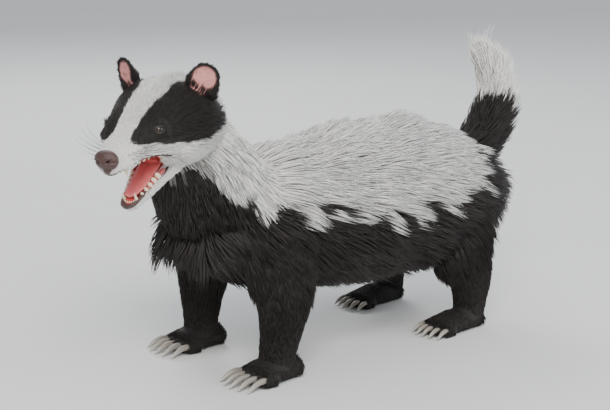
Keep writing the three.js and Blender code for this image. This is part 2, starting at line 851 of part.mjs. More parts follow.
function addHead() {
  const skull = new THREE.Group();
  skull.applyMatrix4(HEAD_MATRIX);
  body.add(skull);

  const jawMatrix = new THREE.Matrix4().compose(
    JAW_PIVOT,
    new THREE.Quaternion().setFromAxisAngle(SIDEWAYS, -GAPE),
    new THREE.Vector3(1, 1, 1),
  );
  const toJaw = jawMatrix.clone().invert();

  let head = placed(trunk.intersect(headCut.after), TO_HEAD);
  head = head.add(lipRoll(UPPER_LIP, 11));
  for (const [, side] of SIDES) head = head.add(lidShell(side));
  head = head.subtract(palateHollow()).subtract(placed(jawHollow(0), jawMatrix));
  head = head.add(toothRow(UPPER_TEETH));
  for (const [, side] of SIDES) head = head.subtract(eyeBall(side, SEAM)).subtract(eyeOpening(side));
  head = head.subtract(noseForm(SEAM));
  skull.add(meshOf("head", head, PALE_COAT));
  skull.add(meshOf("nose", noseForm(0).subtract(nostrils()), NOSE_LEATHER));

  for (const [sideName, side] of SIDES) {
    skull.add(meshOf(`eye_${sideName}`, eyeBall(side, 0), EYE_GLASS));
    const ear = earForm(side).subtract(earCup(side)).subtract(headForm(SEAM));
    skull.add(meshOf(`ear_${sideName}`, ear, BLACK_COAT));
  }

  const jaw = new THREE.Group();
  jaw.applyMatrix4(jawMatrix);
  skull.add(jaw);
  const clearOfHead = placed(headForm(SEAM).add(lipRoll(UPPER_LIP, 11, SEAM)), toJaw);
  const jawSolid = jawForm(0).add(lipRoll(LOWER_LIP, 9)).subtract(jawHollow(0)).add(toothRow(LOWER_TEETH));
  jaw.add(meshOf("lower_jaw", jawSolid.subtract(clearOfHead), PALE_COAT));

  const jawAround = jawForm(SEAM).subtract(jawHollow(-SEAM));
  const headAround = clearOfHead.subtract(jawHollow(-SEAM));
  jaw.add(meshOf("tongue", tongueForm().subtract(jawAround).subtract(headAround), WET_FLESH));
}

addTorso();
addNeck();
addHead();
addTail();
addLegs("fore", FORE_LEG, FORE_PAW, FORE_FOOT_X);
addLegs("hind", HIND_LEG, HIND_PAW, HIND_FOOT_X);

export default badger;
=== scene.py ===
# %% [markdown]
# European badger, life size: its looks.
#
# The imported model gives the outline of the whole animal, out to the tips of its coat. This lesson
# dresses it. One smooth skin is worked out a coat's depth inside that outline, and then the coat is
# grown on the skin as many small, closed, tapered tufts. The eyes, nose, lips, teeth, tongue and
# claws are pieces of their own, because each has its own finish.

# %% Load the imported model
import math

import bpy
import numpy as np
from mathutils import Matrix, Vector


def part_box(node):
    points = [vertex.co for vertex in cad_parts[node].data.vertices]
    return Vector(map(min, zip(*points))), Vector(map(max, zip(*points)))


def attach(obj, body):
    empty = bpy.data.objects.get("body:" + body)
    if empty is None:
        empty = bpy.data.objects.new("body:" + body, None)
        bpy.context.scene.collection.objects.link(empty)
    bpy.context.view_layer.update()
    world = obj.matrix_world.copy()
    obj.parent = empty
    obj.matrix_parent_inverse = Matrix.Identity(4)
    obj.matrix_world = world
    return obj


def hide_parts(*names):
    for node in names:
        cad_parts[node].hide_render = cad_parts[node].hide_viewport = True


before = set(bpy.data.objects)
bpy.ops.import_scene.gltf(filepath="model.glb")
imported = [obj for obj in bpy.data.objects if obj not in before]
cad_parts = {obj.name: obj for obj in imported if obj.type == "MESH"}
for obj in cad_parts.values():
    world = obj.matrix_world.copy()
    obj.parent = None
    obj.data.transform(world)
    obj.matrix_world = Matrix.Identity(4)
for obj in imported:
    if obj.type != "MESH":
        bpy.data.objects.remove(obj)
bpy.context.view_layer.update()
rng = np.random.default_rng(411)

# %% [markdown]
# Every form below is a smooth tube along a path. A table gives a few stations of the path, each with
# its centre and half sizes in millimetres, and a Catmull-Rom curve fills in between them. This is the
# same rule that made the solids, so the skin stays parallel to them.

# %% Curves and vectors
UP = np.array([0.0, 0.0, 1.0])
SIDEWAYS = np.array([0.0, 1.0, 0.0])
FORWARD = np.array([-1.0, 0.0, 0.0])
PATH_STEP = 0.02
WAVES = 12
NOISE_GAIN = 2.4


def unit(vectors):
    """Each vector divided by its own length."""
    return vectors / np.maximum(np.linalg.norm(vectors, axis=-1, keepdims=True), 1e-12)


def curve(rows, places):
    """The Catmull-Rom cubic through the rows of a table, read at places that count in rows."""
    rows = np.asarray(rows, float)
    padded = np.vstack([2 * rows[0] - rows[1], rows, 2 * rows[-1] - rows[-2]])
    i = np.clip(np.floor(places).astype(int), 0, len(rows) - 2)
    t = (places - i)[:, None]
    a, b, c, d = (padded[i + k] for k in range(4))
    return b + 0.5 * t * (c - a + t * (2 * a - 5 * b + 4 * c - d + t * (3 * (b - c) + d - a)))


def table(rows, at):
    """Straight lines between the (place, value) rows of a small table."""
    rows = np.asarray(rows, float)
    return np.interp(at, rows[:, 0], rows[:, 1])


def square_distances(points, others):
    """The square of the distance from each point to each of some others."""
    return (points ** 2).sum(1)[:, None] - 2 * points @ others.T + (others ** 2).sum(1)


def noise(points, wavelength, seed):
    """A smooth, seeded value from about -1 to 1: the mean of sine waves in twelve directions."""
    draw = np.random.default_rng(seed)
    headings = unit(draw.normal(size=(WAVES, 3)))
    waves = headings * 2 * np.pi / (wavelength * draw.uniform(0.7, 1.5, (WAVES, 1)))
    return np.sin(points @ waves.T + draw.uniform(0, 2 * np.pi, WAVES)).mean(axis=1) * NOISE_GAIN


# %% [markdown]
# A frame turns a form's own table into the animal's: the head is tipped and turned on the neck, and
# the lower jaw swings open on the head.

# %% Frames of the head and the jaw
def turning(axis, degrees):
    """The rotation matrix by an angle about the x, y or z axis."""
    c, s = math.cos(math.radians(degrees)), math.sin(math.radians(degrees))
    i, j = [(1, 2), (2, 0), (0, 1)]["xyz".index(axis)]
    turn = np.eye(3)
    turn[i, i] = turn[j, j] = c
    turn[i, j], turn[j, i] = -s, s
    return turn


HEAD_YAW = 25
HEAD_PITCH = -13
GAPE = 26
HEAD_TURN = turning("z", HEAD_YAW) @ turning("y", HEAD_PITCH)
HEAD_AT = np.array([-268.0, -36.0, 346.0])
JAW_PIVOT = np.array([-30.0, 0.0, -20.0])
BODY_FRAME = (np.eye(3), np.zeros(3))
HEAD_FRAME = (HEAD_TURN, HEAD_AT)
JAW_FRAME = (HEAD_TURN @ turning("y", -GAPE), HEAD_AT + HEAD_TURN @ JAW_PIVOT)


def placed(points, frame_of):
    """Points of a form's own table moved to the animal's frame."""
    turn, at = frame_of
    return points @ turn.T + at


def in_frame(points, frame_of):
    """Points of the animal's frame as a form's own table sees them."""
    turn, at = frame_of
    return (points - at) @ turn


EYE_AT = np.array([-88.0, 32.0, 16.0])
LEFT_RIGHT = (("left", -1), ("right", 1))


def mirrored(side, point):
    """A point of the right side, or its mirror image on the left."""
    return np.array([point[0], side * point[1], point[2]])


eye_low, eye_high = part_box("eye_left")
eye_centre = np.array((eye_low + eye_high) / 2) * 1000
SHIFT = np.array([(eye_centre - placed(mirrored(-1, EYE_AT), HEAD_FRAME))[0], 0.0, 0.0])
print("the solids stand", round(SHIFT[0], 2), "mm further back than these tables")

# %% [markdown]
# A form can do two things. It gives the grid of its own surface, from which a mesh is made, and it
# tells of any point how far along the path it is, how far round, and how far outside the surface. The
# second is what lets hair on the skin know which way to lie.

# %% One rounded form along a path
DOME_RINGS = 5
PATH_SAMPLES = 40
CUP_SHARPNESS = 1.2
PLACE, ANGLE, DISTANCE, TANGENT = range(4)


class Form:
    """A tube of half ellipses, high above the path and low below it, closed by a dome at each end."""

    def __init__(self, stations, domes, reference=UP, frame_of=BODY_FRAME, cup=None):
        self.stations = np.asarray(stations, float)
        self.domes = domes
        self.reference = np.asarray(reference, float)
        self.frame_of = frame_of
        self.cup = cup
        self.last = len(self.stations) - 1

    def sections(self, places):
        """Centre, tangent, up, side and half sizes of the sections at some places on the path."""
        values = curve(self.stations, places)
        ahead = curve(self.stations, np.minimum(places + PATH_STEP, self.last))[:, :3]
        behind = curve(self.stations, np.maximum(places - PATH_STEP, 0))[:, :3]
        tangent = unit(ahead - behind)
        up = unit(self.reference - (tangent @ self.reference)[:, None] * tangent)
        side = np.cross(tangent, up)
        turn = self.frame_of[0]
        centre = placed(values[:, :3], self.frame_of)
        return centre, tangent @ turn.T, up @ turn.T, side @ turn.T, values[:, 3:6]

    def grid(self, rings, sides):
        """The surface by place v and angle a: centre + up cos(a) height + side sin(a) width."""
        dome = np.linspace(0, np.pi / 2, DOME_RINGS + 2)[1:-1]
        first, last = np.zeros(DOME_RINGS), np.full(DOME_RINGS, self.last)
        places = np.concatenate([first, np.linspace(0, self.last, rings), last])
        shrink = np.concatenate([np.cos(dome[::-1]), np.ones(rings), np.cos(dome)])[:, None]
        reach = [max(length, 1.0) for length in self.domes]
        behind, ahead = -np.sin(dome[::-1]) * reach[0], np.sin(dome) * reach[1]
        shift = np.concatenate([behind, np.zeros(rings), ahead])
        centre, tangent, up, side, sizes = self.sections(places)
        angle = np.linspace(0, 2 * np.pi, sides, endpoint=False)[None, :]
        high, low, wide = (np.maximum(sizes[:, k:k + 1], 1.0) * shrink for k in range(3))
        lift = np.cos(angle) * np.where(np.cos(angle) > 0, high, low)
        if self.cup:
            cup = self.cup((places / self.last)[:, None])
            lift = lift - cup * shrink * np.maximum(np.cos(angle), 0) ** CUP_SHARPNESS
        out = np.sin(angle) * wide
        axis = centre + tangent * shift[:, None]
        points = axis[:, None] + lift[..., None] * up[:, None] + out[..., None] * side[:, None]
        ends = np.array([centre[0] - tangent[0] * reach[0], centre[-1] + tangent[-1] * reach[1]])
        return np.vstack([points.reshape(-1, 3), ends]), len(places), sides

    def read(self, points):
        """How far along, round and outside the form each point is, and the path's direction there."""
        places = np.linspace(0, self.last, PATH_SAMPLES)
        centre, tangent, up, side, sizes = self.sections(places)
        near = square_distances(points, centre).argmin(axis=1)
        offset = points - centre[near]
        along = (offset * tangent[near]).sum(1)
        lift = (offset * up[near]).sum(1)
        out = (offset * side[near]).sum(1)
        high = np.where(lift > 0, sizes[near, 0], sizes[near, 1])
        wide = sizes[near, 2]
        past_end = ((near == 0) & (along < 0)) | ((near == PATH_SAMPLES - 1) & (along > 0))
        dome = np.where(near == 0, self.domes[0], self.domes[1])
        past = np.where(past_end, along / dome, 0)
        share = np.sqrt((lift / high) ** 2 + (out / wide) ** 2 + past ** 2)
        distance = (share - 1) * np.minimum(high, wide)
        return places[near] / self.last, np.arctan2(out, lift), distance, tangent[near]


def row_quads(rows, sides, bands):
    """Quads for so many bands between a grid's rows, the last of which may lead back to the first."""
    i, j = np.meshgrid(np.arange(bands), np.arange(sides), indexing="ij")
    n, k = (i + 1) % rows, (j + 1) % sides
    return np.stack([i * sides + j, i * sides + k, n * sides + k, n * sides + j], -1).reshape(-1, 4)


def ring_faces(rows, sides):
    """Quads between the rows of a closed grid, and a fan of triangles at each of its two end points."""
    j = np.arange(sides)
    k = (j + 1) % sides
    end = (rows - 1) * sides
    first = np.stack([j, np.full(sides, rows * sides), k], -1)
    last = np.stack([end + j, end + k, np.full(sides, rows * sides + 1)], -1)
    return row_quads(rows, sides, rows - 1), np.vstack([first, last])


# %% [markdown]
# Some shapes are thin and follow a curve of their own: the rims of the lips and the lids, the teeth
# and the claws. Each is a tube, a circle carried along the curve and held square to it.

# %% Tubes along curves
TUBE_REFERENCE = np.array([0.12, 0.31, 0.94])
TUBE_DOME = 0.6


def tube(points, radii, sides=10, closed=False, flatten=1.0):
    """A round tube: at each point of a path, a circle square to it, as a closed grid or a ring."""
    following = np.roll(points, -1, axis=0) - np.roll(points, 1, axis=0)
    if not closed:
        following[0], following[-1] = points[1] - points[0], points[-1] - points[-2]
    tangent = unit(following)
    side = unit(np.cross(tangent, TUBE_REFERENCE))
    up = np.cross(side, tangent)
    angle = np.linspace(0, 2 * np.pi, sides, endpoint=False)
    ring = np.cos(angle)[:, None, None] * up * flatten + np.sin(angle)[:, None, None] * side
    body = points[:, None] + np.moveaxis(ring, 0, 1) * np.asarray(radii)[:, None, None]
    if closed:
        return body.reshape(-1, 3), row_quads(len(points), sides, len(points))
    first = points[0] - tangent[0] * radii[0] * TUBE_DOME
    last = points[-1] + tangent[-1] * radii[-1] * TUBE_DOME
    return np.vstack([body.reshape(-1, 3), first, last]), len(points), sides


# %% [markdown]
# Points are kept in millimetres until a mesh is made, and only then moved to the solids' frame in
# metres. foreach_set copies whole arrays into the mesh, which is far quicker than going over points.

# %% From arrays to meshes
def to_frame(points):
    """The animal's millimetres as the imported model's metres."""
    return (points + SHIFT) / 1000


def mesh_of(name, points, *faces):
    """A smooth mesh from points in millimetres and arrays of triangles or quads."""
    mesh = bpy.data.meshes.new(name)
    corners = np.concatenate([f.ravel() for f in faces]).astype(np.int32)
    counts = np.concatenate([np.full(len(f), f.shape[1]) for f in faces])
    mesh.vertices.add(len(points))
    mesh.vertices.foreach_set("co", to_frame(points).astype(np.float32).ravel())
    mesh.loops.add(len(corners))
    mesh.loops.foreach_set("vertex_index", corners)
    mesh.polygons.add(len(counts))
    mesh.polygons.foreach_set("loop_start", (np.cumsum(counts) - counts).astype(np.int32))
    mesh.polygons.foreach_set("use_smooth", np.ones(len(counts), bool))
    mesh.update(calc_edges=True)
    return mesh


def joined(grids):
    """Several closed grids as one set of points, quads and triangles."""
    points, quads, triangles, count = [], [], [], 0
    for own, rows, sides in grids:
        four, three = ring_faces(rows, sides)
        points.append(own)
        quads.append(four + count)
        triangles.append(three + count)
        count += len(own)
    return np.vstack(points), np.vstack(quads), np.vstack(triangles)


def linked(name, data):
    """A new object in the scene that shows a mesh, a lamp or a camera."""
    made = bpy.data.objects.new(name, data)
    bpy.context.scene.collection.objects.link(made)
    return made


def shown(name, mesh, material, replaces=()):
    """Puts a mesh in the scene as a piece of the badger."""
    piece = linked(name, mesh)
    mesh.materials.clear()
    mesh.materials.append(material)
    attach(piece, "root")
    if replaces:
        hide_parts(*replaces)
    print(name, len(mesh.vertices), "points")


def paint(mesh, name, colours):
    """Keeps one linear colour for each point of a mesh."""
    layer = mesh.color_attributes.new(name, "FLOAT_COLOR", "POINT")
    rgba = np.ones((len(colours), 4), np.float32)
    rgba[:, :3] = colours
    layer.data.foreach_set("color", rgba.ravel())


def keep(mesh, name, values):
    """Keeps one number for each point of a mesh."""
    layer = mesh.attributes.new(name, "FLOAT", "POINT")
    layer.data.foreach_set("value", values.astype(np.float32))


# %% [markdown]
# The body's forms. The torso and the foot of the neck lie 24 mm inside the outline, which is how far
# the long coat stands off the skin, and the head, the lower legs and the feet only a few millimetres,
# because their hair is short.

# %% Torso, neck and tail
BACK_HEIGHT, BELLY_HEIGHT, BODY_WIDTH = 303, 70, 266
COAT_DEPTH = 24
WIDEST_SHARE = 0.44
TORSO_PROFILE = [
    # x, top, bottom, width
    [-226, 0.87, 1.95, 0.56],
    [-165, 0.955, 1.4, 0.79],
    [-75, 0.965, 1.1, 0.9],
    [30, 0.992, 1.0, 0.98],
    [125, 1.0, 1.07, 1.0],
    [205, 0.935, 1.48, 0.9],
    [254, 0.8, 2.1, 0.62],
]


def torso_station(x, top, bottom, width):
    """A row of the torso's profile as a centre and half sizes, a coat's depth inside the outline."""
    high, low = top * BACK_HEIGHT, bottom * BELLY_HEIGHT
    middle = low + WIDEST_SHARE * (high - low)
    sizes = np.array([high - middle, middle - low, width * BODY_WIDTH / 2]) - COAT_DEPTH
    return [x, 0, middle, *sizes]


torso = Form([torso_station(*row) for row in TORSO_PROFILE], (6, 16))
NECK = np.array([
    [-150, 0, 206, 78, 92, 98],
    [-190, -5, 238, 78, 84, 89],
    [-220, -14, 274, 71, 74, 79],
    [-245, -24, 308, 60, 62, 69],
    [-270, -35, 338, 47, 48, 58],
])
NECK_DEPTH = np.array([24, 24, 21, 15, 8])
neck = Form(np.hstack([NECK[:, :3], NECK[:, 3:] - NECK_DEPTH[:, None]]), (6, 6))
TAIL = np.array([
    [240, 0, 214, 17, 17, 18],
    [284, 0, 240, 16, 16, 17],
    [312, 0, 282, 16, 16, 16],
    [317, 0, 320, 13, 13, 13],
    [309, 0, 342, 8, 8, 8],
    [301, 0, 354, 4, 4, 4],
])
tail = Form(TAIL, (6, 4), reference=SIDEWAYS)

# %% Head, jaw and ears
HEAD_SKIN_DEPTH = 3.2
HEAD_PROFILE = [
    # x, top, bottom, half width
    [22, 36, -46, 50],
    [-8, 46, -56, 62],
    [-38, 50, -54, 63],
    [-64, 45, -41, 53],
    [-87, 35, -27, 40],
    [-108, 25, -20, 30],
    [-129, 18, -18, 25.5],
    [-143, 14, -17, 22],
]
JAW_PROFILE = [
    [6, 4, -29, 37],
    [-30, 0, -26, 32],
    [-60, 1, -20, 24],
    [-85, 3, -15, 18],
    [-101, 4, -11, 14],
]


def level_stations(profile, depth):
    """Rows of x, top, bottom and half width as centres and half sizes, a given depth inside."""
    return [
        [x, 0, (top + bottom) / 2, *([(top - bottom) / 2 - depth] * 2), side - depth]
        for x, top, bottom, side in profile
    ]


head = Form(level_stations(HEAD_PROFILE, HEAD_SKIN_DEPTH), (9, 6), frame_of=HEAD_FRAME)
jaw = Form(level_stations(JAW_PROFILE, 2.0), (5, 6), frame_of=JAW_FRAME)
EAR = [[-12, 41, 23, 6, 7.5, 17], [-12, 51, 43, 6, 7, 20.5], [-10, 56, 55, 5, 6, 18]]
EAR_CUP_DEPTH = 8.0


def ear_facing(side):
    """The way that an ear's hollow looks, in the head's frame."""
    return unit(np.array([-0.88, side * 0.46, 0.1]))


def ear_cup(share):
    """How deep the hollow of the ear is, from its foot to its top."""
    return EAR_CUP_DEPTH * np.clip((share - 0.12) * 3.2, 0, 1)


def ear_form(side):
    """The shell of one ear, its hollow towards the front."""
    rows = np.array(EAR, float) * [1, side, 1, 1, 1, 1]
    return Form(rows, (4, 13), ear_facing(side), HEAD_FRAME, ear_cup)


ears = [ear_form(side) for _, side in LEFT_RIGHT]

# %% Legs and paws
LEG_DEPTH = 5.0
PAW_DEPTH = 2.0
STANCE_HALF_WIDTH = 84
FORE_LEG = [
    [-160, 50, 214, 50, 50, 30],
    [-150, 74, 164, 50, 48, 36],
    [-144, 85, 116, 40, 40, 37],
    [-147, 87, 74, 32, 32, 31],
    [-151, 85, 40, 27, 27, 28],
    [-152, 84, 20, 27, 27, 29],
]
HIND_LEG = [
    [166, 56, 210, 62, 58, 36],
    [160, 78, 162, 62, 58, 40],
    [168, 89, 115, 50, 46, 39],
    [184, 89, 76, 36, 36, 31],
    [190, 86, 44, 28, 29, 27],
    [190, 84, 22, 26, 27, 26],
]
LEG_DEPTHS = np.array([12, 9] + [LEG_DEPTH] * 4)
PAWS = {
    "fore": {
        "x": -150,
        "palm": [[22, 0, 13, 17, 17, 25], [-6, 0, 14, 18, 18, 30], [-32, 0, 10, 16, 14, 30]],
        "toe_x": -38, "spread": 12.6, "toe": (14, 7.6, 9.5), "claw": (30, 3.9),
    },
    "hind": {
        "x": 172,
        "palm": [[30, 0, 14, 18, 18, 22], [-4, 0, 13, 17, 17, 26], [-40, 0, 9, 14, 13, 27]],
        "toe_x": -46, "spread": 11.2, "toe": (12.5, 6.8, 8.5), "claw": (19, 3.3),
    },
}
TOES = 5
TOE_ARC = 1.7
SOLE_CUT = 1.5


def leg_form(stations, side):
    """A leg on one side, its skin inside the outline."""
    rows = np.array(stations, float) * [1, side, 1, 1, 1, 1]
    rows[:, 3:] -= LEG_DEPTHS[:, None]
    return Form(rows, (8, 4), FORWARD)


def paw_frame(paw, side):
    """Where a foot stands."""
    return np.eye(3), np.array([paw["x"], side * STANCE_HALF_WIDTH, 0.0])


def toe_places(paw):
    """The centres of the five toes, on an arc across the foot."""
    across = np.arange(TOES) - (TOES - 1) / 2
    x = paw["toe_x"] + TOE_ARC * across ** 2
    return np.stack([x, across * paw["spread"], np.full(TOES, paw["toe"][2] - SOLE_CUT)], -1)


def palm_form(paw, side):
    """The flat of a foot."""
    rows = np.array(paw["palm"], float)
    rows[:, 3:] -= PAW_DEPTH
    return Form(rows, (6, 5), frame_of=paw_frame(paw, side))


def toe_forms(paw, side):
    """The five toes of a foot, each a short rounded tube along x."""
    long, wide, high = np.array(paw["toe"]) - PAW_DEPTH * 0.7
    forms = []
    for x, y, z in toe_places(paw):
        back = [x + long * 0.5, y, z, high, high, wide]
        front = [x - long * 0.45, y, z - 0.4, high, high, wide]
        domes = (long * 0.5, long * 0.55)
        forms.append(Form([back, front], domes, frame_of=paw_frame(paw, side)))
    return forms


legs = [leg_form(rows, side) for rows in (FORE_LEG, HIND_LEG) for _, side in LEFT_RIGHT]
palms = [palm_form(paw, side) for paw in PAWS.values() for _, side in LEFT_RIGHT]
toes = [toe for paw in PAWS.values() for _, side in LEFT_RIGHT for toe in toe_forms(paw, side)]
print(len(legs), "legs,", len(palms), "feet,", len(toes), "toes")

# %% [markdown]
# The skull is more than one smooth tube. Small rounded masses are laid on it, and on the shoulders
# and thighs, before everything is fused. Each is an ellipsoid, which is the simplest muscle.

# %% Muscles and ridges
MOUND_CORE = 0.05


def mound(centre, radii, frame_of=HEAD_FRAME):
    """An ellipsoid along x, as a form with a very short path and long domes."""
    x, y, z = centre
    long, wide, high = radii
    rows = [[x + end * long * MOUND_CORE, y, z, high, high, wide] for end in (1, -1)]
    return Form(rows, [long * (1 - MOUND_CORE)] * 2, frame_of=frame_of)


EYE_RADIUS = 6.5
EYE_FACING = unit(np.array([-0.45, 0.86, 0.22]))
MIDDLE_MOUNDS = {
    "bridge of the muzzle": ([-122, 0, 4], [26, 13, 11]),
    "crest of the skull": ([-24, 0, 38], [34, 7, 10]),
}
SIDE_MOUNDS = {
    "brow": ([-78, 25, 19], [24, 7.5, 6.8], HEAD_FRAME),
    "orbit": ([-84, 25, 11], [34, 9.5, 13], HEAD_FRAME),
    "jaw muscle": ([-32, 44, -16], [36, 14, 17], HEAD_FRAME),
    "whisker pad": ([-128, 15, -6], [18, 9, 10], HEAD_FRAME),
    "lids": (EYE_AT, [8.0, 7.6, 7.6], HEAD_FRAME),
    "shoulder": ([-140, 62, 168], [46, 32, 58], BODY_FRAME),
    "thigh": ([172, 62, 170], [60, 34, 62], BODY_FRAME),
}
mounds = [mound(*one) for one in MIDDLE_MOUNDS.values()]
for _, side in LEFT_RIGHT:
    mounds += [mound(mirrored(side, at), *rest) for at, *rest in SIDE_MOUNDS.values()]
print(len(mounds), "muscles and ridges")

# %% [markdown]
# Fusing. Voxel remeshing turns the overlapping forms into one closed surface with soft joins, which
# no list of faces made by hand would give so evenly. The mesh is thinned to a size that is kind to the
# export before anything is cut, because thinning can tear a sharp edge. The mouth and the openings for
# the eyes are then cut out with a Boolean, and a few passes of smoothing take the small steps off.

# %% Fuse the forms into one skin
VOXEL = 0.0021
SKIN_FACES = 176000


def applied(mesh, kind, **settings):
    """A new mesh: the given one with one modifier applied."""
    helper = linked("helper", mesh)
    modifier = helper.modifiers.new(kind, kind)
    for key, value in settings.items():
        setattr(modifier, key, value)
    made = bpy.data.meshes.new_from_object(helper.evaluated_get(bpy.context.evaluated_depsgraph_get()))
    bpy.data.objects.remove(helper)
    return made


RIM_STEPS = 90
RIM_SIDES = 14
# the jaw's form, the angle from its top, places along it, and the point at the front of the mouth
UPPER_RIM = (head, 128, [3.3, 4, 5, 6, 7], [-148, 4.5, -12])
LOWER_RIM = (jaw, 58, [1.4, 2, 3, 4], [-106, 3.5, -1.5])
NO_SHIFT = [0, 0, 0]
LIPS = {"upper_lip": (UPPER_RIM, [0, 0, -3.4]), "lower_lip": (LOWER_RIM, [0, 0, 3.0])}
LIP_SINK = 2.0


def arch(right):
    """A smooth line along the right side of a jaw and back along its mirror image."""
    both = np.vstack([right, right[::-1] * [1, -1, 1]])
    return curve(both, np.linspace(0, len(both) - 1, RIM_STEPS))


def rim_path(rim, shift, sink=0.0):
    """The edge of a jaw's sections at one angle, as an arch in the jaw's own frame."""
    form, degrees, places, front = rim
    centre, _, up, side, sizes = form.sections(np.array(places, float))
    c, s = math.cos(math.radians(degrees)), math.sin(math.radians(degrees))
    height = sizes[:, 0 if c > 0 else 1] - sink
    edge = centre + up * (c * height)[:, None] + side * (s * (sizes[:, 2] - sink))[:, None]
    return arch(np.vstack([in_frame(edge, form.frame_of), front]) + shift)


def rim_grid(rim, shift, radius, sink):
    """A roll along a rim, thinner towards the corners of the mouth."""
    share = np.linspace(0, 1, RIM_STEPS)
    fade = np.minimum(1, 0.5 + 5 * np.minimum(share, 1 - share))
    return tube(placed(rim_path(rim, shift, sink), rim[0].frame_of), radius * fade, RIM_SIDES)


outer = [torso.grid(60, 72), neck.grid(40, 64), tail.grid(40, 28), head.grid(60, 64), jaw.grid(40, 40)]
outer += [rim_grid(UPPER_RIM, NO_SHIFT, 4.4, 1.5), rim_grid(LOWER_RIM, NO_SHIFT, 3.5, 1.0)]
outer += [ear.grid(24, 40) for ear in ears]
outer += [leg.grid(40, 40) for leg in legs] + [palm.grid(16, 32) for palm in palms]
outer += [toe.grid(8, 18) for toe in toes] + [lump.grid(8, 28) for lump in mounds]
fused = applied(mesh_of("fused", *joined(outer)), "REMESH", mode="VOXEL", voxel_size=VOXEL)
rough_skin = applied(fused, "DECIMATE", ratio=SKIN_FACES / (2 * len(fused.polygons)))
print("fused", len(fused.polygons), "quads, thinned to", len(rough_skin.polygons), "faces")

# %% Cut the mouth and the eye openings
PALATE = [
    [-60, 0, -23, 9, 14, 22], [-90, 0, -20, 8, 14, 22.5],
    [-118, 0, -18, 7, 14, 16.5], [-136, 0, -17, 5, 14, 12],
]
JAW_FLOOR = [[-28, 0, 6, 14, 16, 19], [-60, 0, 6, 14, 12, 15.5], [-88, 0, 6, 12, 9, 10]]
EYE_OPENING = [7.5, 5.6, 3.9]
palate = Form(PALATE, (8, 6), frame_of=HEAD_FRAME)
jaw_floor = Form(JAW_FLOOR, (8, 6), frame_of=JAW_FRAME)


def facing_frame(side):
    """An eye's own frame in the animal's: x along its gaze, z up."""
    gaze = mirrored(side, EYE_FACING)
    across = unit(np.cross(UP, gaze))
    turn = np.stack([gaze, across, np.cross(gaze, across)], -1)
    return HEAD_TURN @ turn, placed(mirrored(side, EYE_AT), HEAD_FRAME)


hollows = [palate.grid(30, 32), jaw_floor.grid(30, 32)]
for _, side in LEFT_RIGHT:
    socket = mound([EYE_RADIUS + 1, 0, 0], EYE_OPENING, facing_frame(side))
    hollows.append(socket.grid(8, 24))
cutter = linked("cutter", mesh_of("cutter", *joined(hollows)))
cut_skin = applied(rough_skin, "BOOLEAN", operation="DIFFERENCE", object=cutter, solver="MANIFOLD")
bpy.data.objects.remove(cutter)
skin_mesh = applied(cut_skin, "SMOOTH", factor=0.5, iterations=6)
print("skin", len(skin_mesh.polygons), "faces after the cuts")

# %% [markdown]
# Reading the skin back as arrays. From here on every question about hair, such as how long it is
# here and which way it lies, is asked of all the points at once.

# %% The skin as arrays
skin_mesh.calc_loop_triangles()
flat = np.empty(len(skin_mesh.vertices) * 3, np.float32)
skin_mesh.vertices.foreach_get("co", flat)
flat[2::3] = np.maximum(flat[2::3], 0.0)
skin_mesh.vertices.foreach_set("co", flat)
skin_points = flat.reshape(-1, 3).astype(float) * 1000 - SHIFT
skin_mesh.vertex_normals.foreach_get("vector", flat)
skin_normals = flat.reshape(-1, 3).astype(float)
corners = np.empty(len(skin_mesh.loop_triangles) * 3, np.int32)
skin_mesh.loop_triangles.foreach_get("vertices", corners)
skin_triangles = corners.reshape(-1, 3)
print(len(skin_points), "points,", len(skin_triangles), "triangles")

# %% [markdown]
# The coat plan. Each region says how long its hair is, how far the tips stand off, how thick a tuft
# is, how many tufts grow on a square centimetre and which way they lie. Where two regions meet, a
# point takes a share of each, so that the coat has no borders of its own.

# %% Regions of the coat
REGION_BLEND = 7.0
# form, (length, lift and width in mm, tufts on a square centimetre), lie along the form or against it
REGIONS = {
    "torso": (torso, (62, 21, 2.6, 12.0), 1),
    "neck": (neck, (44, 17, 2.3, 17.0), -1),
    "tail": (tail, (60, 20, 2.2, 36.0), 1),
    "head": (head, (10.5, 3.0, 0.95, 78.0), -1),
    "jaw": (jaw, (8, 2.4, 0.9, 60.0), -1),
    "ear_left": (ears[0], (6, 2.6, 0.9, 90.0), 1),
    "ear_right": (ears[1], (6, 2.6, 0.9, 90.0), 1),
}
for number, leg in enumerate(legs):
    REGIONS[f"leg_{number}"] = (leg, (19, 4.4, 1.5, 26.0), 1)
for number, palm in enumerate(palms):
    REGIONS[f"paw_{number}"] = (palm, (8, 2.0, 1.1, 50.0), 1)


def region_shares(distance):
    """Each region's share of each point: exp(-distance outside its form), made to add up to one."""
    share = np.exp(-np.clip(distance - distance.min(axis=1, keepdims=True), 0, 80) / REGION_BLEND)
    return share / share.sum(axis=1, keepdims=True)


read_at = {name: form.read(skin_points) for name, (form, _, _) in REGIONS.items()}
share_at = region_shares(np.stack([read_at[name][DISTANCE] for name in REGIONS], -1))
print("regions", {name: round(float(share_at[:, k].mean()), 3) for k, name in enumerate(REGIONS)})

# %% How long the hair is and how it lies
BELLY_SHORT = 0.55
# how many of a region's figures change along its form, and the places and factors
ALONG = {
    "neck": (2, [(0, 1.15), (0.5, 1), (1, 0.62)]),
    "tail": (1, [(0, 0.75), (0.4, 0.9), (1, 0.95)]),
    "head": (2, [(0, 3.1), (0.2, 2.5), (0.36, 1.8), (0.5, 1.2), (0.7, 0.62), (1, 0.42)]),
    "jaw": (2, [(0, 2.6), (0.4, 1.6), (1, 0.55)]),
    "ear": (1, [(0, 1.3), (0.5, 0.9), (1, 0.6)]),
    "leg": (2, [(0, 2.0), (0.35, 1.4), (0.7, 0.8), (1, 0.55)]),
}
REGION_KINDS = [name.split("_")[0] for name in REGIONS]


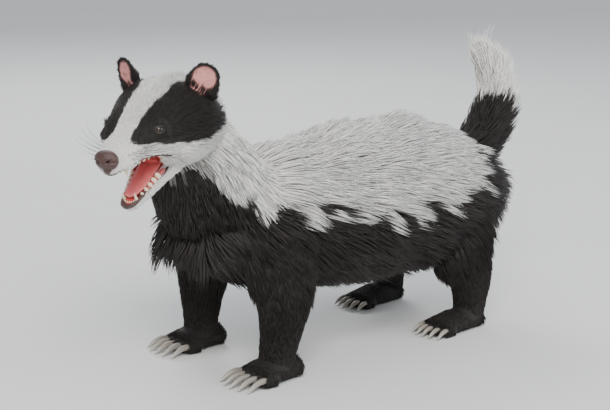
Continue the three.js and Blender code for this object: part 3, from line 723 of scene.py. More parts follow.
def region_value(name, kind, column):
    """One of a region's figures at each point, with its own changes along and round the form."""
    place, angle = read_at[name][PLACE], read_at[name][ANGLE]
    value = np.full(len(place), REGIONS[name][1][column], float)
    if kind == "torso" and column < 2:
        value *= 1 - BELLY_SHORT * np.clip(-np.cos(angle) * 2 - 0.8, 0, 1)
    columns, rows = ALONG.get(kind, (0, []))
    if column < columns:
        value *= table(rows, place)
    return value


def blended(column):
    """A figure of the coat at each point of the skin, each region by its share."""
    pairs = zip(REGIONS, REGION_KINDS)
    values = np.stack([region_value(name, kind, column) for name, kind in pairs], -1)
    return (values * share_at).sum(axis=1)


DROOP = 0.42
lie = sum(
    share_at[:, k:k + 1] * REGIONS[name][2] * read_at[name][TANGENT] for k, name in enumerate(REGIONS)
)
on_body = share_at[:, 0] + share_at[:, 1]
lie = lie - DROOP * on_body[:, None] * UP
lie = unit(lie - (lie * skin_normals).sum(1, keepdims=True) * skin_normals)
hair_length, hair_lift, hair_width, hair_density = (blended(column) for column in range(4))
print("hair from", hair_length.min().round(1), "to", hair_length.max().round(1), "mm long")

# %% [markdown]
# The markings. A pale mantle hangs over the back and flanks and ends in a ragged edge. The chest,
# throat, belly and legs are black. The face is white, with a black band on each side that runs from
# behind the nose over the eye and the ear. The tail is black at its root and white to its tip. One
# function gives the marking of any point, and both the skin and the coat ask it.

# %% Where the coat is pale and where it is black
MANTLE_EDGE = [
    (-330, 318), (-300, 312), (-275, 304), (-250, 284), (-225, 262), (-200, 254), (-180, 242),
    (-150, 222), (-100, 207), (0, 199), (100, 207), (155, 226), (195, 252), (224, 284), (240, 340),
]
LOCK_SPACING = 26
BAND_TOP = [(-124, 52), (-112, 36), (-88, 29), (-50, 25), (-12, 27), (30, 32)]
BAND_BOTTOM = [(-124, 60), (-112, 80), (-88, 100), (-50, 101), (-12, 92), (30, 84)]
BAND_FRONT, BAND_BACK = -124, 8
BEHIND_FACE, BELOW_FACE = -10, -45
TAIL_WHITE = 0.36
CONTRAST = 3


def soft_step(value, width):
    """0 well below zero and 1 well above it, changing over the given width."""
    return np.clip(value / width + 0.5, 0, 1)


def paleness(points, shares, reads, ragged=9.0):
    """1 where the coat is pale and 0 where it is black."""
    jag = noise(points * [1, 0.2, 0], LOCK_SPACING, 5) * ragged
    body = soft_step(points[:, 2] - table(MANTLE_EDGE, points[:, 0]) + jag, 6)
    own = in_frame(points, HEAD_FRAME)
    x, y, z = own.T
    middle = table([(row[0], (row[1] + row[2]) / 2) for row in HEAD_PROFILE[::-1]], x)
    round_head = np.degrees(np.arctan2(np.abs(y), z - middle))
    fine_jag = noise(points, 9, 6) * 2.2
    inside = np.minimum(round_head - table(BAND_TOP, x), table(BAND_BOTTOM, x) - round_head)
    ends = np.minimum(x - BAND_FRONT, BAND_BACK - x + jag)
    face = 1 - soft_step(inside + fine_jag, 5) * soft_step(ends + fine_jag, 5)
    tail_jag = noise(points, 22, 8) * 0.05
    parts = {
        "torso": body,
        "neck": np.where((x > BEHIND_FACE) | (z < BELOW_FACE), body, face),
        "tail": soft_step(reads["tail"][PLACE] - TAIL_WHITE + tail_jag, 0.04),
        "head": face,
        "jaw": np.ones(len(points)),
    }
    pale = sum(shares[:, REGION_KINDS.index(name)] * value for name, value in parts.items())
    return np.clip((pale - 0.5) * CONTRAST + 0.5, 0, 1)


skin_pale = paleness(skin_points, share_at, read_at)
print("pale share of the skin", round(float(skin_pale.mean()), 2))

# %% [markdown]
# Skin colours. The skin only shows between the tufts: it has the coat's marking, darkened as painted
# shade.
# It is bare and pink in the ears, bare and dark along the lips, and wet red flesh in the mouth.

# %% Colour the skin
PALE_HAIR = np.array([0.80, 0.78, 0.73])
BLACK_HAIR = np.array([0.016, 0.0135, 0.012])
EAR_SKIN = np.array([0.58, 0.25, 0.23])
FLESH = np.array([0.55, 0.075, 0.07])
LIP_TONE = np.array([0.03, 0.02, 0.018])
LIP_REACH = 3.4
# painted shade: the skin under the tufts is made 0.7 as bright as the coat's marking
PAINTED_SHADE_UNDER_COAT = 0.7
EAR_HOLLOW_PLACE = 1.3
EAR_HOLLOW_LONG, EAR_HOLLOW_WIDE, EAR_HOLLOW_DEEP = 17, 14.5, 14
MOUTH_CORNER = 12
OUTSIDE = -9
RIM_BELOW, RIM_ABOVE = 3, 8


def ear_hollow(form):
    """1 inside an ellipse on the front of an ear, where the skin is nearly bare."""
    centre, tangent, up, across, _ = (row[0] for row in form.sections(np.array([EAR_HOLLOW_PLACE])))
    offset = skin_points - centre
    reach = np.hypot(offset @ tangent / EAR_HOLLOW_LONG, offset @ across / EAR_HOLLOW_WIDE)
    facing = soft_step(skin_normals @ up - 0.15, 0.4)
    return facing * soft_step(1 - reach, 0.2) * (np.abs(offset @ up) < EAR_HOLLOW_DEEP)


def inside_rim(points, rim, past_rim, inward):
    """1 between the two sides of a rim, from 3 mm short of its height to 8 mm past it."""
    x, y, z = in_frame(points, rim[0].frame_of).T
    path = rim_path(rim, NO_SHIFT)[MOUTH_CORNER:RIM_STEPS // 2]
    path = path[np.argsort(path[:, 0])]
    half = np.interp(x, path[:, 0], path[:, 1], left=OUTSIDE, right=OUTSIDE)
    past = (z - np.interp(x, path[:, 0], path[:, 2])) * past_rim
    between = soft_step(half - inward - np.abs(y), 1.5)
    return between * soft_step(past + RIM_BELOW, 2) * soft_step(RIM_ABOVE - past, 2)


def in_mouth(points):
    """1 on the walls of the mouth's hollows and between the rims of the lips."""
    inner = np.minimum(palate.read(points)[DISTANCE], jaw_floor.read(points)[DISTANCE])
    between = np.maximum(inside_rim(points, UPPER_RIM, -1, 1.0), inside_rim(points, LOWER_RIM, 1, 0.5))
    return np.maximum(soft_step(0.9 - inner, 1.0), between)


def near_lips(points):
    """1 within a few millimetres of the edge of a lip, where the skin is bare and dark."""
    share = np.zeros(len(points))
    for rim, shift in LIPS.values():
        edge = placed(rim_path(rim, shift, LIP_SINK), rim[0].frame_of)
        square = square_distances(points, edge).min(axis=1)
        share = np.maximum(share, soft_step(LIP_REACH - np.sqrt(np.maximum(square, 0)), 1.0))
    return share


mouth_share = in_mouth(skin_points)
lip_share = near_lips(skin_points)
# the coat's own marking, darkened by painted shade under the tufts
skin_colours = (BLACK_HAIR + skin_pale[:, None] * (PALE_HAIR - BLACK_HAIR)) * PAINTED_SHADE_UNDER_COAT
ear_bare = sum(ear_hollow(ear) for ear in ears)
skin_colours += ear_bare[:, None] * (EAR_SKIN - skin_colours)
skin_colours += mouth_share[:, None] * (FLESH - skin_colours)
skin_colours += lip_share[:, None] * (LIP_TONE - skin_colours)
paint(skin_mesh, "coat", skin_colours)
bare_share = np.clip(ear_bare * 0.97 + mouth_share * 3 + lip_share, 0, 1)

# %% [markdown]
# Shaders. Each number in a shader graph is a socket. The small class below wraps one, so that plain
# arithmetic adds the Math nodes, and a Graph adds any other node with one call.

# %% Helpers for materials
class Value:
    """A shader socket that Python's operators work on."""

    def __init__(self, graph, socket):
        self.graph, self.socket = graph, socket

    def _math(self, operation, *values):
        return self.graph.value("ShaderNodeMath", {"operation": operation}, dict(enumerate(values)))

    def __add__(self, other):
        return self._math("ADD", self, other)

    def __rsub__(self, other):
        return self._math("SUBTRACT", other, self)

    def __mul__(self, other):
        return self._math("MULTIPLY", self, other)


class Graph:
    """A material and the methods that add its nodes."""

    def __init__(self, name):
        self.material = bpy.data.materials.new(name)
        self.material.use_nodes = True
        self.tree = self.material.node_tree
        self.tree.nodes.clear()

    def node(self, kind, settings, inputs):
        """A node by its type, its settings, which are set first, and the values of its sockets."""
        made = self.tree.nodes.new(kind)
        for key, setting in settings.items():
            setattr(made, key, setting)
        for key, given in inputs.items():
            if isinstance(given, Value):
                self.tree.links.new(given.socket, made.inputs[key])
            else:
                made.inputs[key].default_value = given
        return made

    def value(self, kind, settings, inputs, output=0):
        """The wrapped output of a new node."""
        return Value(self, self.node(kind, settings, inputs).outputs[output])

    def attribute(self, name, output="Color"):
        """A colour or number kept on the mesh."""
        return self.value("ShaderNodeAttribute", {"attribute_name": name}, {}, output)

    def place(self):
        """Object coordinates, in metres of the animal's frame."""
        return self.value("ShaderNodeTexCoord", {}, {}, "Object")

    def grain(self, scale, detail=2.0):
        """Noise, about 0.5 on average."""
        sizes = {"Vector": self.place(), "Scale": scale, "Detail": detail}
        return self.value("ShaderNodeTexNoise", {}, sizes)

    def cells(self, scale):
        """Distance to the nearest of many scattered points."""
        return self.value("ShaderNodeTexVoronoi", {}, {"Vector": self.place(), "Scale": scale})

    def mixed(self, factor, first, second, blend="MIX"):
        """Two colours mixed."""
        settings = {"data_type": "RGBA", "blend_type": blend}
        return self.value("ShaderNodeMix", settings, {0: factor, 6: first, 7: second}, 2)

    def marking(self, scale, detail, spread, least):
        """The coat's colour as kept on the mesh, made lighter and darker by fine noise."""
        shade = self.grain(scale, detail) * spread + least
        tint = self.value("ShaderNodeCombineColor", {}, {0: shade, 1: shade, 2: shade})
        return self.mixed(1.0, self.attribute("coat"), tint, "MULTIPLY")

    def finish(self, bump=None, distance=0.0005, strength=0.5, **sockets):
        """The Principled shader, its sockets by name, and an optional Bump node."""
        inputs = {key.replace("_", " "): given for key, given in sockets.items()}
        if bump is not None:
            sizes = {"Height": bump, "Distance": distance, "Strength": strength}
            inputs["Normal"] = self.value("ShaderNodeBump", {}, sizes)
        shader = self.value("ShaderNodeBsdfPrincipled", {}, inputs)
        self.node("ShaderNodeOutputMaterial", {}, {"Surface": shader})
        return self.material


def rgb(r, g, b):
    """A linear colour with full alpha."""
    return (r, g, b, 1.0)


def two_tone(name, mottle, tones, bump, depth, roughness):
    """A surface in two tones mixed by noise of a given scale and detail, with a pattern of bumps."""
    graph = Graph(name)
    kind, *scale = bump
    distance, strength = depth
    return graph.finish(
        bump=getattr(graph, kind)(*scale), distance=distance, strength=strength,
        Base_Color=graph.mixed(graph.grain(*mottle), *tones), Roughness=roughness,
    )


# %% [markdown]
# Hair is matt from afar, with a soft shine along its length. Its colour comes from the points of the
# mesh, and a fine noise makes neighbouring hairs differ a little.

# %% Materials of the skin and the coat
def hair_material(name, roughness, shine):
    """Coat hair: the marking's colour, broken up by fine noise."""
    graph = Graph(name)
    return graph.finish(
        bump=graph.grain(900.0), distance=0.0006, strength=0.35,
        Base_Color=graph.marking(420.0, 3.0, 0.5, 0.74), Roughness=roughness, Specular_IOR_Level=shine,
    )


def skin_material(name):
    """Skin under the coat, wet where it lines the mouth."""
    graph = Graph(name)
    wet = graph.attribute("wet", "Fac")
    return graph.finish(
        bump=graph.grain(700.0, 3.0), distance=0.0006, strength=0.4,
        Base_Color=graph.marking(260.0, 4.0, 0.6, 0.7),
        Roughness=0.75 - wet * 0.45, Specular_IOR_Level=0.4,
    )


LONG_HAIR = hair_material("guard_hair", 0.52, 0.35)
SHORT_HAIR = hair_material("short_hair", 0.6, 0.3)
SKIN = skin_material("badger_skin")
keep(skin_mesh, "wet", mouth_share)
flesh_nodes = ["torso", "neck", "head", "lower_jaw", "tail", "ear_left", "ear_right"]
for end in ("fore", "hind"):
    for side_name, _ in LEFT_RIGHT:
        flesh_nodes += [f"{end}leg_{side_name}", f"{end}paw_{side_name}"]
shown("skin", skin_mesh, SKIN, flesh_nodes)

# %% [markdown]
# Roots. Every triangle of the skin gets roots by its area and the density wanted there. Drawing them
# in even steps along the running total spreads them far more evenly than plain random picks would.

# %% Set out the roots
SOLE_HEIGHT = 2.5
SQUARE_CENTIMETRE = 100
a, b, c = (skin_points[skin_triangles[:, k]] for k in range(3))
areas = np.linalg.norm(np.cross(b - a, c - a), axis=1) / 2
wanted = areas / SQUARE_CENTIMETRE * (hair_density * (1 - bare_share))[skin_triangles].mean(axis=1)
wanted[a[:, 2] < SOLE_HEIGHT] = 0
total = np.cumsum(wanted)
root_count = int(total[-1])
picks = np.searchsorted(total, (np.arange(root_count) + rng.random(root_count)) / root_count * total[-1])
picks = np.minimum(picks, len(total) - 1)
weights = rng.dirichlet([1, 1, 1], root_count)


def at_roots(values):
    """Values of the skin's points at the roots, by each root's place in its triangle."""
    three = values[skin_triangles[picks]]
    if three.ndim == 2:
        return (three * weights).sum(axis=1)
    return (three * weights[..., None]).sum(axis=1)


roots = at_roots(skin_points)
root_normals = unit(at_roots(skin_normals))
root_lie = unit(at_roots(lie))
root_length, root_lift, root_width = (at_roots(v) for v in (hair_length, hair_lift, hair_width))
root_shares = at_roots(share_at)
root_region = root_shares.argmax(axis=1)
root_reads = {
    name: (at_roots(read_at[name][PLACE]), form.read(roots)[ANGLE])
    for name, (form, _, _) in REGIONS.items()
}
print(root_count, "roots", np.bincount(root_region, minlength=len(REGIONS)))

# %% [markdown]
# Clumps. Real fur isn't evenly combed: neighbouring hairs lean together into locks. Each tuft of the
# long coat belongs to the nearest of a few thousand leaders, takes the leader's marking, and bends
# towards the leader's tip.

# %% Gather long hair into clumps
LONG_LENGTH = 24.0
LONG_CLUMP, SHORT_CLUMP = 13, 6
BLOCK = 4000


def nearest(points, leaders):
    """For each point the index of the nearest leader, worked out in blocks to spare memory."""
    squares = (leaders ** 2).sum(1)
    blocks = [points[start:start + BLOCK] for start in range(0, len(points), BLOCK)]
    return np.concatenate([(squares - 2 * part @ leaders.T).argmin(axis=1) for part in blocks])


is_long = root_length > LONG_LENGTH
leader_of = np.arange(root_count)
for chosen, per_clump in ((is_long, LONG_CLUMP), (~is_long, SHORT_CLUMP)):
    members = np.flatnonzero(chosen)
    leaders = members[rng.permutation(len(members))[:len(members) // per_clump]]
    leader_of[members] = leaders[nearest(roots[members], roots[leaders])]
print("clumps", len(np.unique(leader_of)))

# %% The line of every tuft
SHARES = np.array([0.0, 0.3, 0.68, 1.0])
TIP = len(SHARES) - 1
RISES_EARLY, BENT_BACK = 1.7, 0.06
GRAVITY_SAG = 0.06
ROOT_DEPTH = 1.0
FLOOR_GAP = 1.2
LONG_PULL, SHORT_PULL = 0.62, 0.4
LENGTH_VARIES, LIFT_VARIES = 0.16, 0.22
LEAN_TOGETHER, LEAN_ALONE = 0.16, 0.1
length = root_length * (1 + LENGTH_VARIES * rng.standard_normal(root_count).clip(-2, 2))
lift = root_lift * (1 + LIFT_VARIES * noise(roots, 60, 31)) * rng.uniform(0.55, 1.15, root_count)
sway = np.cross(root_normals, root_lie)
own_lean = LEAN_ALONE * rng.standard_normal(root_count).clip(-2, 2)
lean = LEAN_TOGETHER * noise(roots, 48, 21) + own_lean
direction = unit(root_lie + sway * lean[:, None])


def line_at(share):
    """A tuft's centre line: out along the lie, rising off the skin at first and then lying back."""
    rise = lift * (1 - (1 - share) ** RISES_EARLY)
    along = length * (share - BENT_BACK * share ** 2)
    sag = (GRAVITY_SAG * length * share ** 2 * is_long)[:, None]
    return roots + direction * along[:, None] + root_normals * (rise - ROOT_DEPTH)[:, None] - UP * sag


def pulled(share):
    """The same point drawn towards the leader's, more and more along the tuft."""
    own = line_at(share)
    pull = np.where(is_long, LONG_PULL, SHORT_PULL) * share ** 1.5
    return own + (own[leader_of] - own) * pull[:, None]


lines = np.stack([pulled(share) for share in SHARES], axis=1)
lines[..., 2] = np.maximum(lines[..., 2], FLOOR_GAP)
print(len(lines), "lines of", len(SHARES), "points")

# %% [markdown]
# Colour of the hair. A badger's guard hair is pale at the root, dark towards its outer part and white
# at the tip, which gives the silvery grizzle of the mantle. Black hair is brownish black all along.

# %% Colour every ring of every tuft
MANTLE_TIP = np.array([0.88, 0.87, 0.84])
GRIZZLE = np.array([0.11, 0.1, 0.095])
BAND_AT = np.array([0.0, 0.1, 0.34, 0.0])
LOCKS_RAGGED = 13.0
NECK_GRIZZLE = 0.6
leader_reads = {name: [values[leader_of] for values in reads] for name, reads in root_reads.items()}
leader_pale = paleness(roots[leader_of], root_shares[leader_of], leader_reads, LOCKS_RAGGED)
own_pale = paleness(roots, root_shares, root_reads)
pale = np.where(is_long, leader_pale, own_pale)[:, None]
on_mantle = (root_shares[:, 0] + NECK_GRIZZLE * root_shares[:, 1])[:, None] * pale
warmth = rng.normal(0, 1, root_count).clip(-2, 2) * 0.05 + 0.07 * noise(roots, 70, 44)


def ring_colour(share, band):
    """One ring's colour: pale hair with a band of grizzle, or black hair, by the marking."""
    light = PALE_HAIR + (MANTLE_TIP - PALE_HAIR) * share
    light = light * (1 + warmth[:, None]) * (0.8 + 0.2 * share)
    light = light + (GRIZZLE - light) * on_mantle * band * rng.uniform(0.1, 1.0, (root_count, 1))
    dark = BLACK_HAIR * (1 + 3 * warmth[:, None]) * (1 + 0.9 * share)
    return dark + pale * (light - dark)


ring_colours = np.stack([ring_colour(*at) for at in zip(SHARES, BAND_AT)], axis=1)
print("pale share of the tufts", round(float(pale.mean()), 2))

# %% [markdown]
# Unwrap. Each tuft keeps a patch about 0.003 across on a map named OFBake, at the place of its root on
# an unwrap of the skin's own forms: one tile for each region, along it one way and round it the other.

# %% A place on the map for every root
TILES = 4
TILE_MARGIN = 0.03
PATCH = 0.003
tile = np.stack([root_region % TILES, root_region // TILES], -1) / TILES
region_place = np.choose(root_region, [root_reads[name][PLACE] for name in REGIONS])
region_angle = np.choose(root_region, [root_reads[name][ANGLE] for name in REGIONS])
on_tile = np.stack([region_place, region_angle / (2 * np.pi) + 0.5], -1)
map_place = tile + (TILE_MARGIN + (1 - 2 * TILE_MARGIN) * on_tile) / TILES
print("regions on the map", len(REGIONS), "of", TILES ** 2, "tiles")

# %% [markdown]
# A tuft is a closed spike of three sides: a root face, rings of three points and a tip. It is widest a
# little above the root. Short hair makes do with one ring fewer, so with ten faces instead of sixteen.

# %% Build tufts as meshes
RING_WIDTHS = np.array([0.75, 1.0, 0.62])
FLATNESS = 0.55


def spike_faces(levels):
    """The triangles of one spike: its root face, two for each side of each band, and the tip's."""
    faces = [[0, 2, 1]]
    for start in range(0, 3 * (levels - 1), 3):
        for k in range(3):
            p, q = start + k, start + (k + 1) % 3
            faces += [[p, q, q + 3], [p, q + 3, p + 3]]
    top = 3 * (levels - 1)
    return np.array(faces + [[top + k, top + (k + 1) % 3, top + 3] for k in range(3)])


def tuft_mesh(name, chosen, rings):
    """Closed three-sided spikes: ring r of tuft i is its line's point plus a small flat triangle."""
    line = lines[chosen][:, rings + [TIP]]
    colours = ring_colours[chosen][:, rings + [TIP]]
    along = unit(line[:, -1] - line[:, 0])
    side = unit(np.cross(root_normals[chosen], along))
    up = np.cross(along, side)
    angles = np.radians([90, 210, 330])
    spread = side[:, None] * np.cos(angles)[:, None] + up[:, None] * np.sin(angles)[:, None] * FLATNESS
    widths = RING_WIDTHS[rings] * root_width[chosen][:, None] / 2
    body = line[:, :-1, None] + spread[:, None] * widths[:, :, None, None]
    count, levels = len(chosen), len(rings)
    points = np.concatenate([body.reshape(count, -1, 3), line[:, -1:]], axis=1)
    shades = np.concatenate([np.repeat(colours[:, :-1], 3, axis=1), colours[:, -1:]], axis=1)
    per = 3 * levels + 1
    triangles = (np.arange(count)[:, None, None] * per + spike_faces(levels)).reshape(-1, 3)
    mesh = mesh_of(name, points.reshape(-1, 3), triangles)
    paint(mesh, "coat", shades.reshape(-1, 3))
    turn = np.tile([0.0, 0.5, 1.0], levels)
    height = np.repeat(np.arange(levels) / levels, 3)
    own = np.stack([np.append(turn, 0.5), np.append(height, 1.0)], -1) - 0.5
    spots = map_place[chosen][:, None] + PATCH * own
    layer = mesh.uv_layers.new(name="OFBake")
    layer.data.foreach_set("uv", spots.reshape(-1, 2)[triangles.ravel()].astype(np.float32).ravel())
    return mesh


# %% Grow the coat
MOST_TRIANGLES = 190000
LONG_RINGS, SHORT_RINGS = [0, 1, 2], [0, 2]
root_kind = np.array(REGION_KINDS)[root_region]


def grow(name, kinds, rings, material):
    """Some regions' tufts, as enough pieces to keep each one small, cut across the animal's length."""
    chosen = np.flatnonzero(np.isin(root_kind, kinds))
    triangles = len(chosen) * len(spike_faces(len(rings)))
    order = chosen[np.argsort(roots[chosen, 0], kind="stable")]
    parts = np.array_split(order, math.ceil(triangles / MOST_TRIANGLES))
    for number, part in enumerate(parts, 1):
        shown(f"{name}_{number}", tuft_mesh(f"{name}_{number}", part, rings), material)
    return triangles


total_faces = sum([
    grow("coat_body", ["torso"], LONG_RINGS, LONG_HAIR),
    grow("coat_neck", ["neck"], LONG_RINGS, LONG_HAIR),
    grow("coat_tail", ["tail"], LONG_RINGS, LONG_HAIR),
    grow("coat_head", ["head", "jaw", "ear"], SHORT_RINGS, SHORT_HAIR),
    grow("coat_legs", ["leg", "paw"], SHORT_RINGS, SHORT_HAIR),
])
print("coat triangles", total_faces)

# %% [markdown]
# Eyes. A badger's eye is small, dark and wet. A ball with a slightly raised cornea gives the glint, and
# the iris and the pupil are worked out from the angle off the gaze. Each angle is kept as its cosine.

# %% Eyes
EYE_ROWS, EYE_COLUMNS = 30, 40
CORNEA_RISE, CORNEA_WIDTH = 0.07, 0.12
PUPIL_COS, IRIS_COS = math.cos(math.radians(24)), math.cos(math.radians(46))
EYE_BLACK = np.array([0.006, 0.005, 0.005])
IRIS_BROWN = np.array([0.085, 0.036, 0.013])


def ball(rows, columns):
    """A unit sphere by polar angle from +x and angle round it, turned so that its faces look out."""
    polar = np.linspace(0, np.pi, rows + 2)[1:-1][:, None]
    around = -np.linspace(0, 2 * np.pi, columns, endpoint=False)[None, :]
    x = np.cos(polar) + 0 * around
    shape = np.stack([x, np.sin(polar) * np.cos(around), np.sin(polar) * np.sin(around)], -1)
    return np.vstack([shape.reshape(-1, 3), [1, 0, 0], [-1, 0, 0]])


def cornea(points):
    """A low dome round the gaze."""
    return 1 + CORNEA_RISE * np.exp(-((1 - points[:, :1]) / CORNEA_WIDTH) ** 2)


def eye_material():
    """A very dark brown iris round a black pupil, under a clear wet surface."""
    graph = Graph("wet_eye")
    return graph.finish(
        Base_Color=graph.attribute("iris"), Roughness=0.06, Specular_IOR_Level=0.4,
        Coat_Weight=0.4, Coat_Roughness=0.02,
    )


EYE = eye_material()
round_eye = ball(EYE_ROWS, EYE_COLUMNS)
gaze_cos = round_eye[:, :1]
iris = soft_step(gaze_cos - IRIS_COS, 0.05) * soft_step(PUPIL_COS - gaze_cos, 0.04)
for side_name, side in LEFT_RIGHT:
    points = placed(round_eye * cornea(round_eye) * EYE_RADIUS, facing_frame(side))
    mesh = mesh_of(f"eye_{side_name}_ball", *joined([(points, EYE_ROWS, EYE_COLUMNS)]))
    paint(mesh, "iris", EYE_BLACK + iris * IRIS_BROWN)
    shown(f"eyeball_{side_name}", mesh, EYE, [f"eye_{side_name}"])

# %% [markdown]
# Lids and lips are rolls of bare dark skin. The lids follow the almond of the eye, and the lips follow
# the rims of the mouth from one corner round to the other.

# %% Materials of bare dark skin
CREASES = (0.0007, 0.5)
LID_TONES = (rgb(0.008, 0.007, 0.006), rgb(0.022, 0.017, 0.014))
LIP_TONES = (rgb(0.03, 0.018, 0.016), rgb(0.1, 0.045, 0.04))
LID_SKIN = two_tone("lid_skin", (150.0, 3.0), LID_TONES, ("grain", 900.0, 3.0), CREASES, 0.55)
LIP_SKIN = two_tone("lip_skin", (150.0, 3.0), LIP_TONES, ("grain", 700.0, 3.0), CREASES, 0.35)

# %% Lids
LID_STEPS = 48
LID_WIDTH, LID_HEIGHT, LID_SPHERE = 5.7, 4.2, 7.2
LID_RADIUS = 1.15
LOWER_LID = 0.86


def lid_curve():
    """An almond on a sphere: across by cos, up by sin, higher at one end, forward by the sphere."""
    angle = np.linspace(0, 2 * np.pi, LID_STEPS, endpoint=False)
    across = LID_WIDTH * np.cos(angle)
    high = LID_HEIGHT * np.sin(angle) * (1 - 0.16 * np.cos(angle))
    high = high * np.where(np.sin(angle) > 0, 1, LOWER_LID)
    forward = np.sqrt(np.maximum(LID_SPHERE ** 2 - across ** 2 - high ** 2, 1))
    return np.stack([forward, across, high], -1)


for side_name, side in LEFT_RIGHT:
    line = placed(lid_curve(), facing_frame(side))
    points, quads = tube(line, np.full(LID_STEPS, LID_RADIUS), 12, closed=True)
    shown(f"lids_{side_name}", mesh_of(f"lids_{side_name}", points, quads), LID_SKIN)

# %% Lips
LIP_RADIUS = 1.9
for name, (rim, shift) in LIPS.items():
    mesh = mesh_of(name, *joined([rim_grid(rim, shift, LIP_RADIUS, LIP_SINK)]))
    shown(name, mesh, LIP_SKIN)

# %% [markdown]
# Whiskers. Stiff bristles stand out from the pads beside the nose and sweep back. Each is a thin tube
# that follows a parabola: straight out at first, then bent back and down.

# %% Whiskers
WHISKER_STEPS = 12
WHISKER_RADIUS = 0.34
WHISKER_BEND = np.array([0.42, 0.0, -0.08])


def whisker_grid(side, row, i):
    """Bristle i of a row, counted back and down: out along a direction, bent back by its square."""
    root = mirrored(side, [-136 + 7.0 * i + 2 * row, 17 + 1.7 * i - 1.2 * row, 3.0 - 5.0 * row])
    outward = unit(mirrored(side, [-0.05 + 0.12 * i, 0.95, 0.2 - 0.14 * row]))
    length = 44 + 5 * i - 6 * row
    share = np.linspace(0, 1, WHISKER_STEPS)[:, None]
    path = root + outward * length * share + WHISKER_BEND * length * share ** 2
    return tube(placed(path, HEAD_FRAME), WHISKER_RADIUS * (1 - 0.8 * share[:, 0]), 5)


bristles = [whisker_grid(side, row, i) for _, side in LEFT_RIGHT for row in range(3) for i in range(4)]
shown("whiskers", mesh_of("whiskers", *joined(bristles)), LID_SKIN)

# %% [markdown]
# Nose. The leather is a pad with a flat top, two comma-shaped nostrils and a groove down the middle.
# They are pressed into a ball by changing its radius, and the pebbled surface is bump, with
# painted shade in the grooves between the pebbles.

# %% Nose leather
MUZZLE_TIP_X = -149
NOSE_ROWS, NOSE_COLUMNS = 70, 96
CHIN_ROWS, CHIN_COLUMNS = 16, 20
NOSE_SIZE, CHIN_SIZE = [9.5, 15, 12.2], [4, 5.5, 6]


def dent(across, up, wide, high):
    """A soft oval dent, 1 in its middle: the exponential of minus its squared offsets."""
    return np.exp(-((across / wide) ** 2 + (up / high) ** 2))


def nose_shape(points):
    """The radius of the pad: dents for the nostrils and the groove, and a flatter top."""
    x, y, z = points.T
    out = np.abs(y) - 0.52
    nostril = dent(out, z - 0.02 - 0.35 * out, 0.2, 0.17)
    slit = dent(out - 0.34, z + 0.12, 0.18, 0.09)
    groove = dent(y, 0, 0.05, 1) * (z < 0.2)
    front = np.clip(-x * 3, 0, 1)
    radius = 1 - front * (0.5 * nostril + 0.16 * slit + 0.07 * groove) - 0.08 * np.clip(z, 0, 1) ** 2
    return radius[:, None]


def leather_material():
    """Moist dark leather, finely pebbled, with painted shade darkening the grooves between the pebbles.
    """
    graph = Graph("nose_leather")
    pebbles = graph.cells(1100.0)
    # painted shade: the colour is darker away from each pebble's middle, in the grooves where the bump
    # is low
    colour = graph.mixed(pebbles, rgb(0.085, 0.038, 0.03), rgb(0.032, 0.016, 0.014))
    return graph.finish(
        bump=1 - pebbles, distance=0.0008, strength=0.45,
        Base_Color=colour, Roughness=graph.grain(90.0) * 0.3 + 0.22,
    )


round_nose, round_chin = ball(NOSE_ROWS, NOSE_COLUMNS), ball(CHIN_ROWS, CHIN_COLUMNS)
pad = round_nose * nose_shape(round_nose) * NOSE_SIZE + [MUZZLE_TIP_X - 1, 0, 2.4]
chin_pad = round_chin * CHIN_SIZE + [MUZZLE_TIP_X - 2.5, 0, -8.5]
nose_mesh = mesh_of("nose_pad", *joined([
    (placed(pad, HEAD_FRAME), NOSE_ROWS, NOSE_COLUMNS),
    (placed(chin_pad, HEAD_FRAME), CHIN_ROWS, CHIN_COLUMNS),
]))
shown("nose_pad", nose_mesh, leather_material(), ["nose"])

# %% [markdown]
# Teeth, gums and tongue. Each tooth is a curved, tapered tube, the canines long and the cheek teeth
# low and broad, and the gums are rolls of flesh that they stand in. The tongue has a groove along its
# middle and lies in the lower jaw.

# %% Teeth
TOOTH_STEPS = 9
TOOTH_TIP = 0.12
CHEEK_TEETH = 5
# height of the gum, way that the teeth point, then x, y or spacing, radius and height of the canine
# and the incisors, and the front and back places, radius and height of the cheek teeth
UPPER_TEETH = (-13, -1, (-133, 11, 3.2, 13), (-141, 3.2, 1.9, 5), ((-121, 14.5), (-90, 21.5), 3.4, 4.5))
LOWER_TEETH = (
    0, 1, (-96.5, 8.2, 2.9, 10.5), (-101.5, 2.6, 1.5, 3.5), ((-87, 10.8), (-57, 16.7), 3.1, 3.6),
)


def tooth_row(frame_of, gum, direction, canine, incisor, cheek):
    """Three incisors, a canine and five cheek teeth on each side of a jaw."""
    grids = []

    def add(x, y, radius, height, back, blunt):
        """A tooth rooted 3 mm in the gum that curves back and falls to a point or to a knob."""
        share = np.linspace(0, 1, TOOTH_STEPS)
        z = gum - 3 * direction + direction * (height + 3) * share
        path = np.stack([x + back * share ** 2, np.full(TOOTH_STEPS, y), z], -1)
        knob = blunt * np.sqrt(1 - 0.8 * share ** 3)
        radii = radius * np.maximum((1 - share ** 1.6) * (1 - blunt) + knob, TOOTH_TIP)
        grids.append(tube(placed(path, frame_of), radii, 10))

    for side in (-1, 1):
        x, y, radius, height = canine
        add(x, side * y, radius, height, 2.5, 0.0)
        x, spacing, radius, height = incisor
        for i in range(3):
            add(x + 0.5 * i * i, side * spacing * (i + 0.5), radius, height, 0.5, 0.6)
        front, back, radius, height = np.array(cheek[0]), np.array(cheek[1]), *cheek[2:]
        for share in np.linspace(0, 1, CHEEK_TEETH):
            x, y = front + (back - front) * share
            add(x, side * y, radius * (1 + 0.35 * share), height, 0.5, 0.5)
    return grids


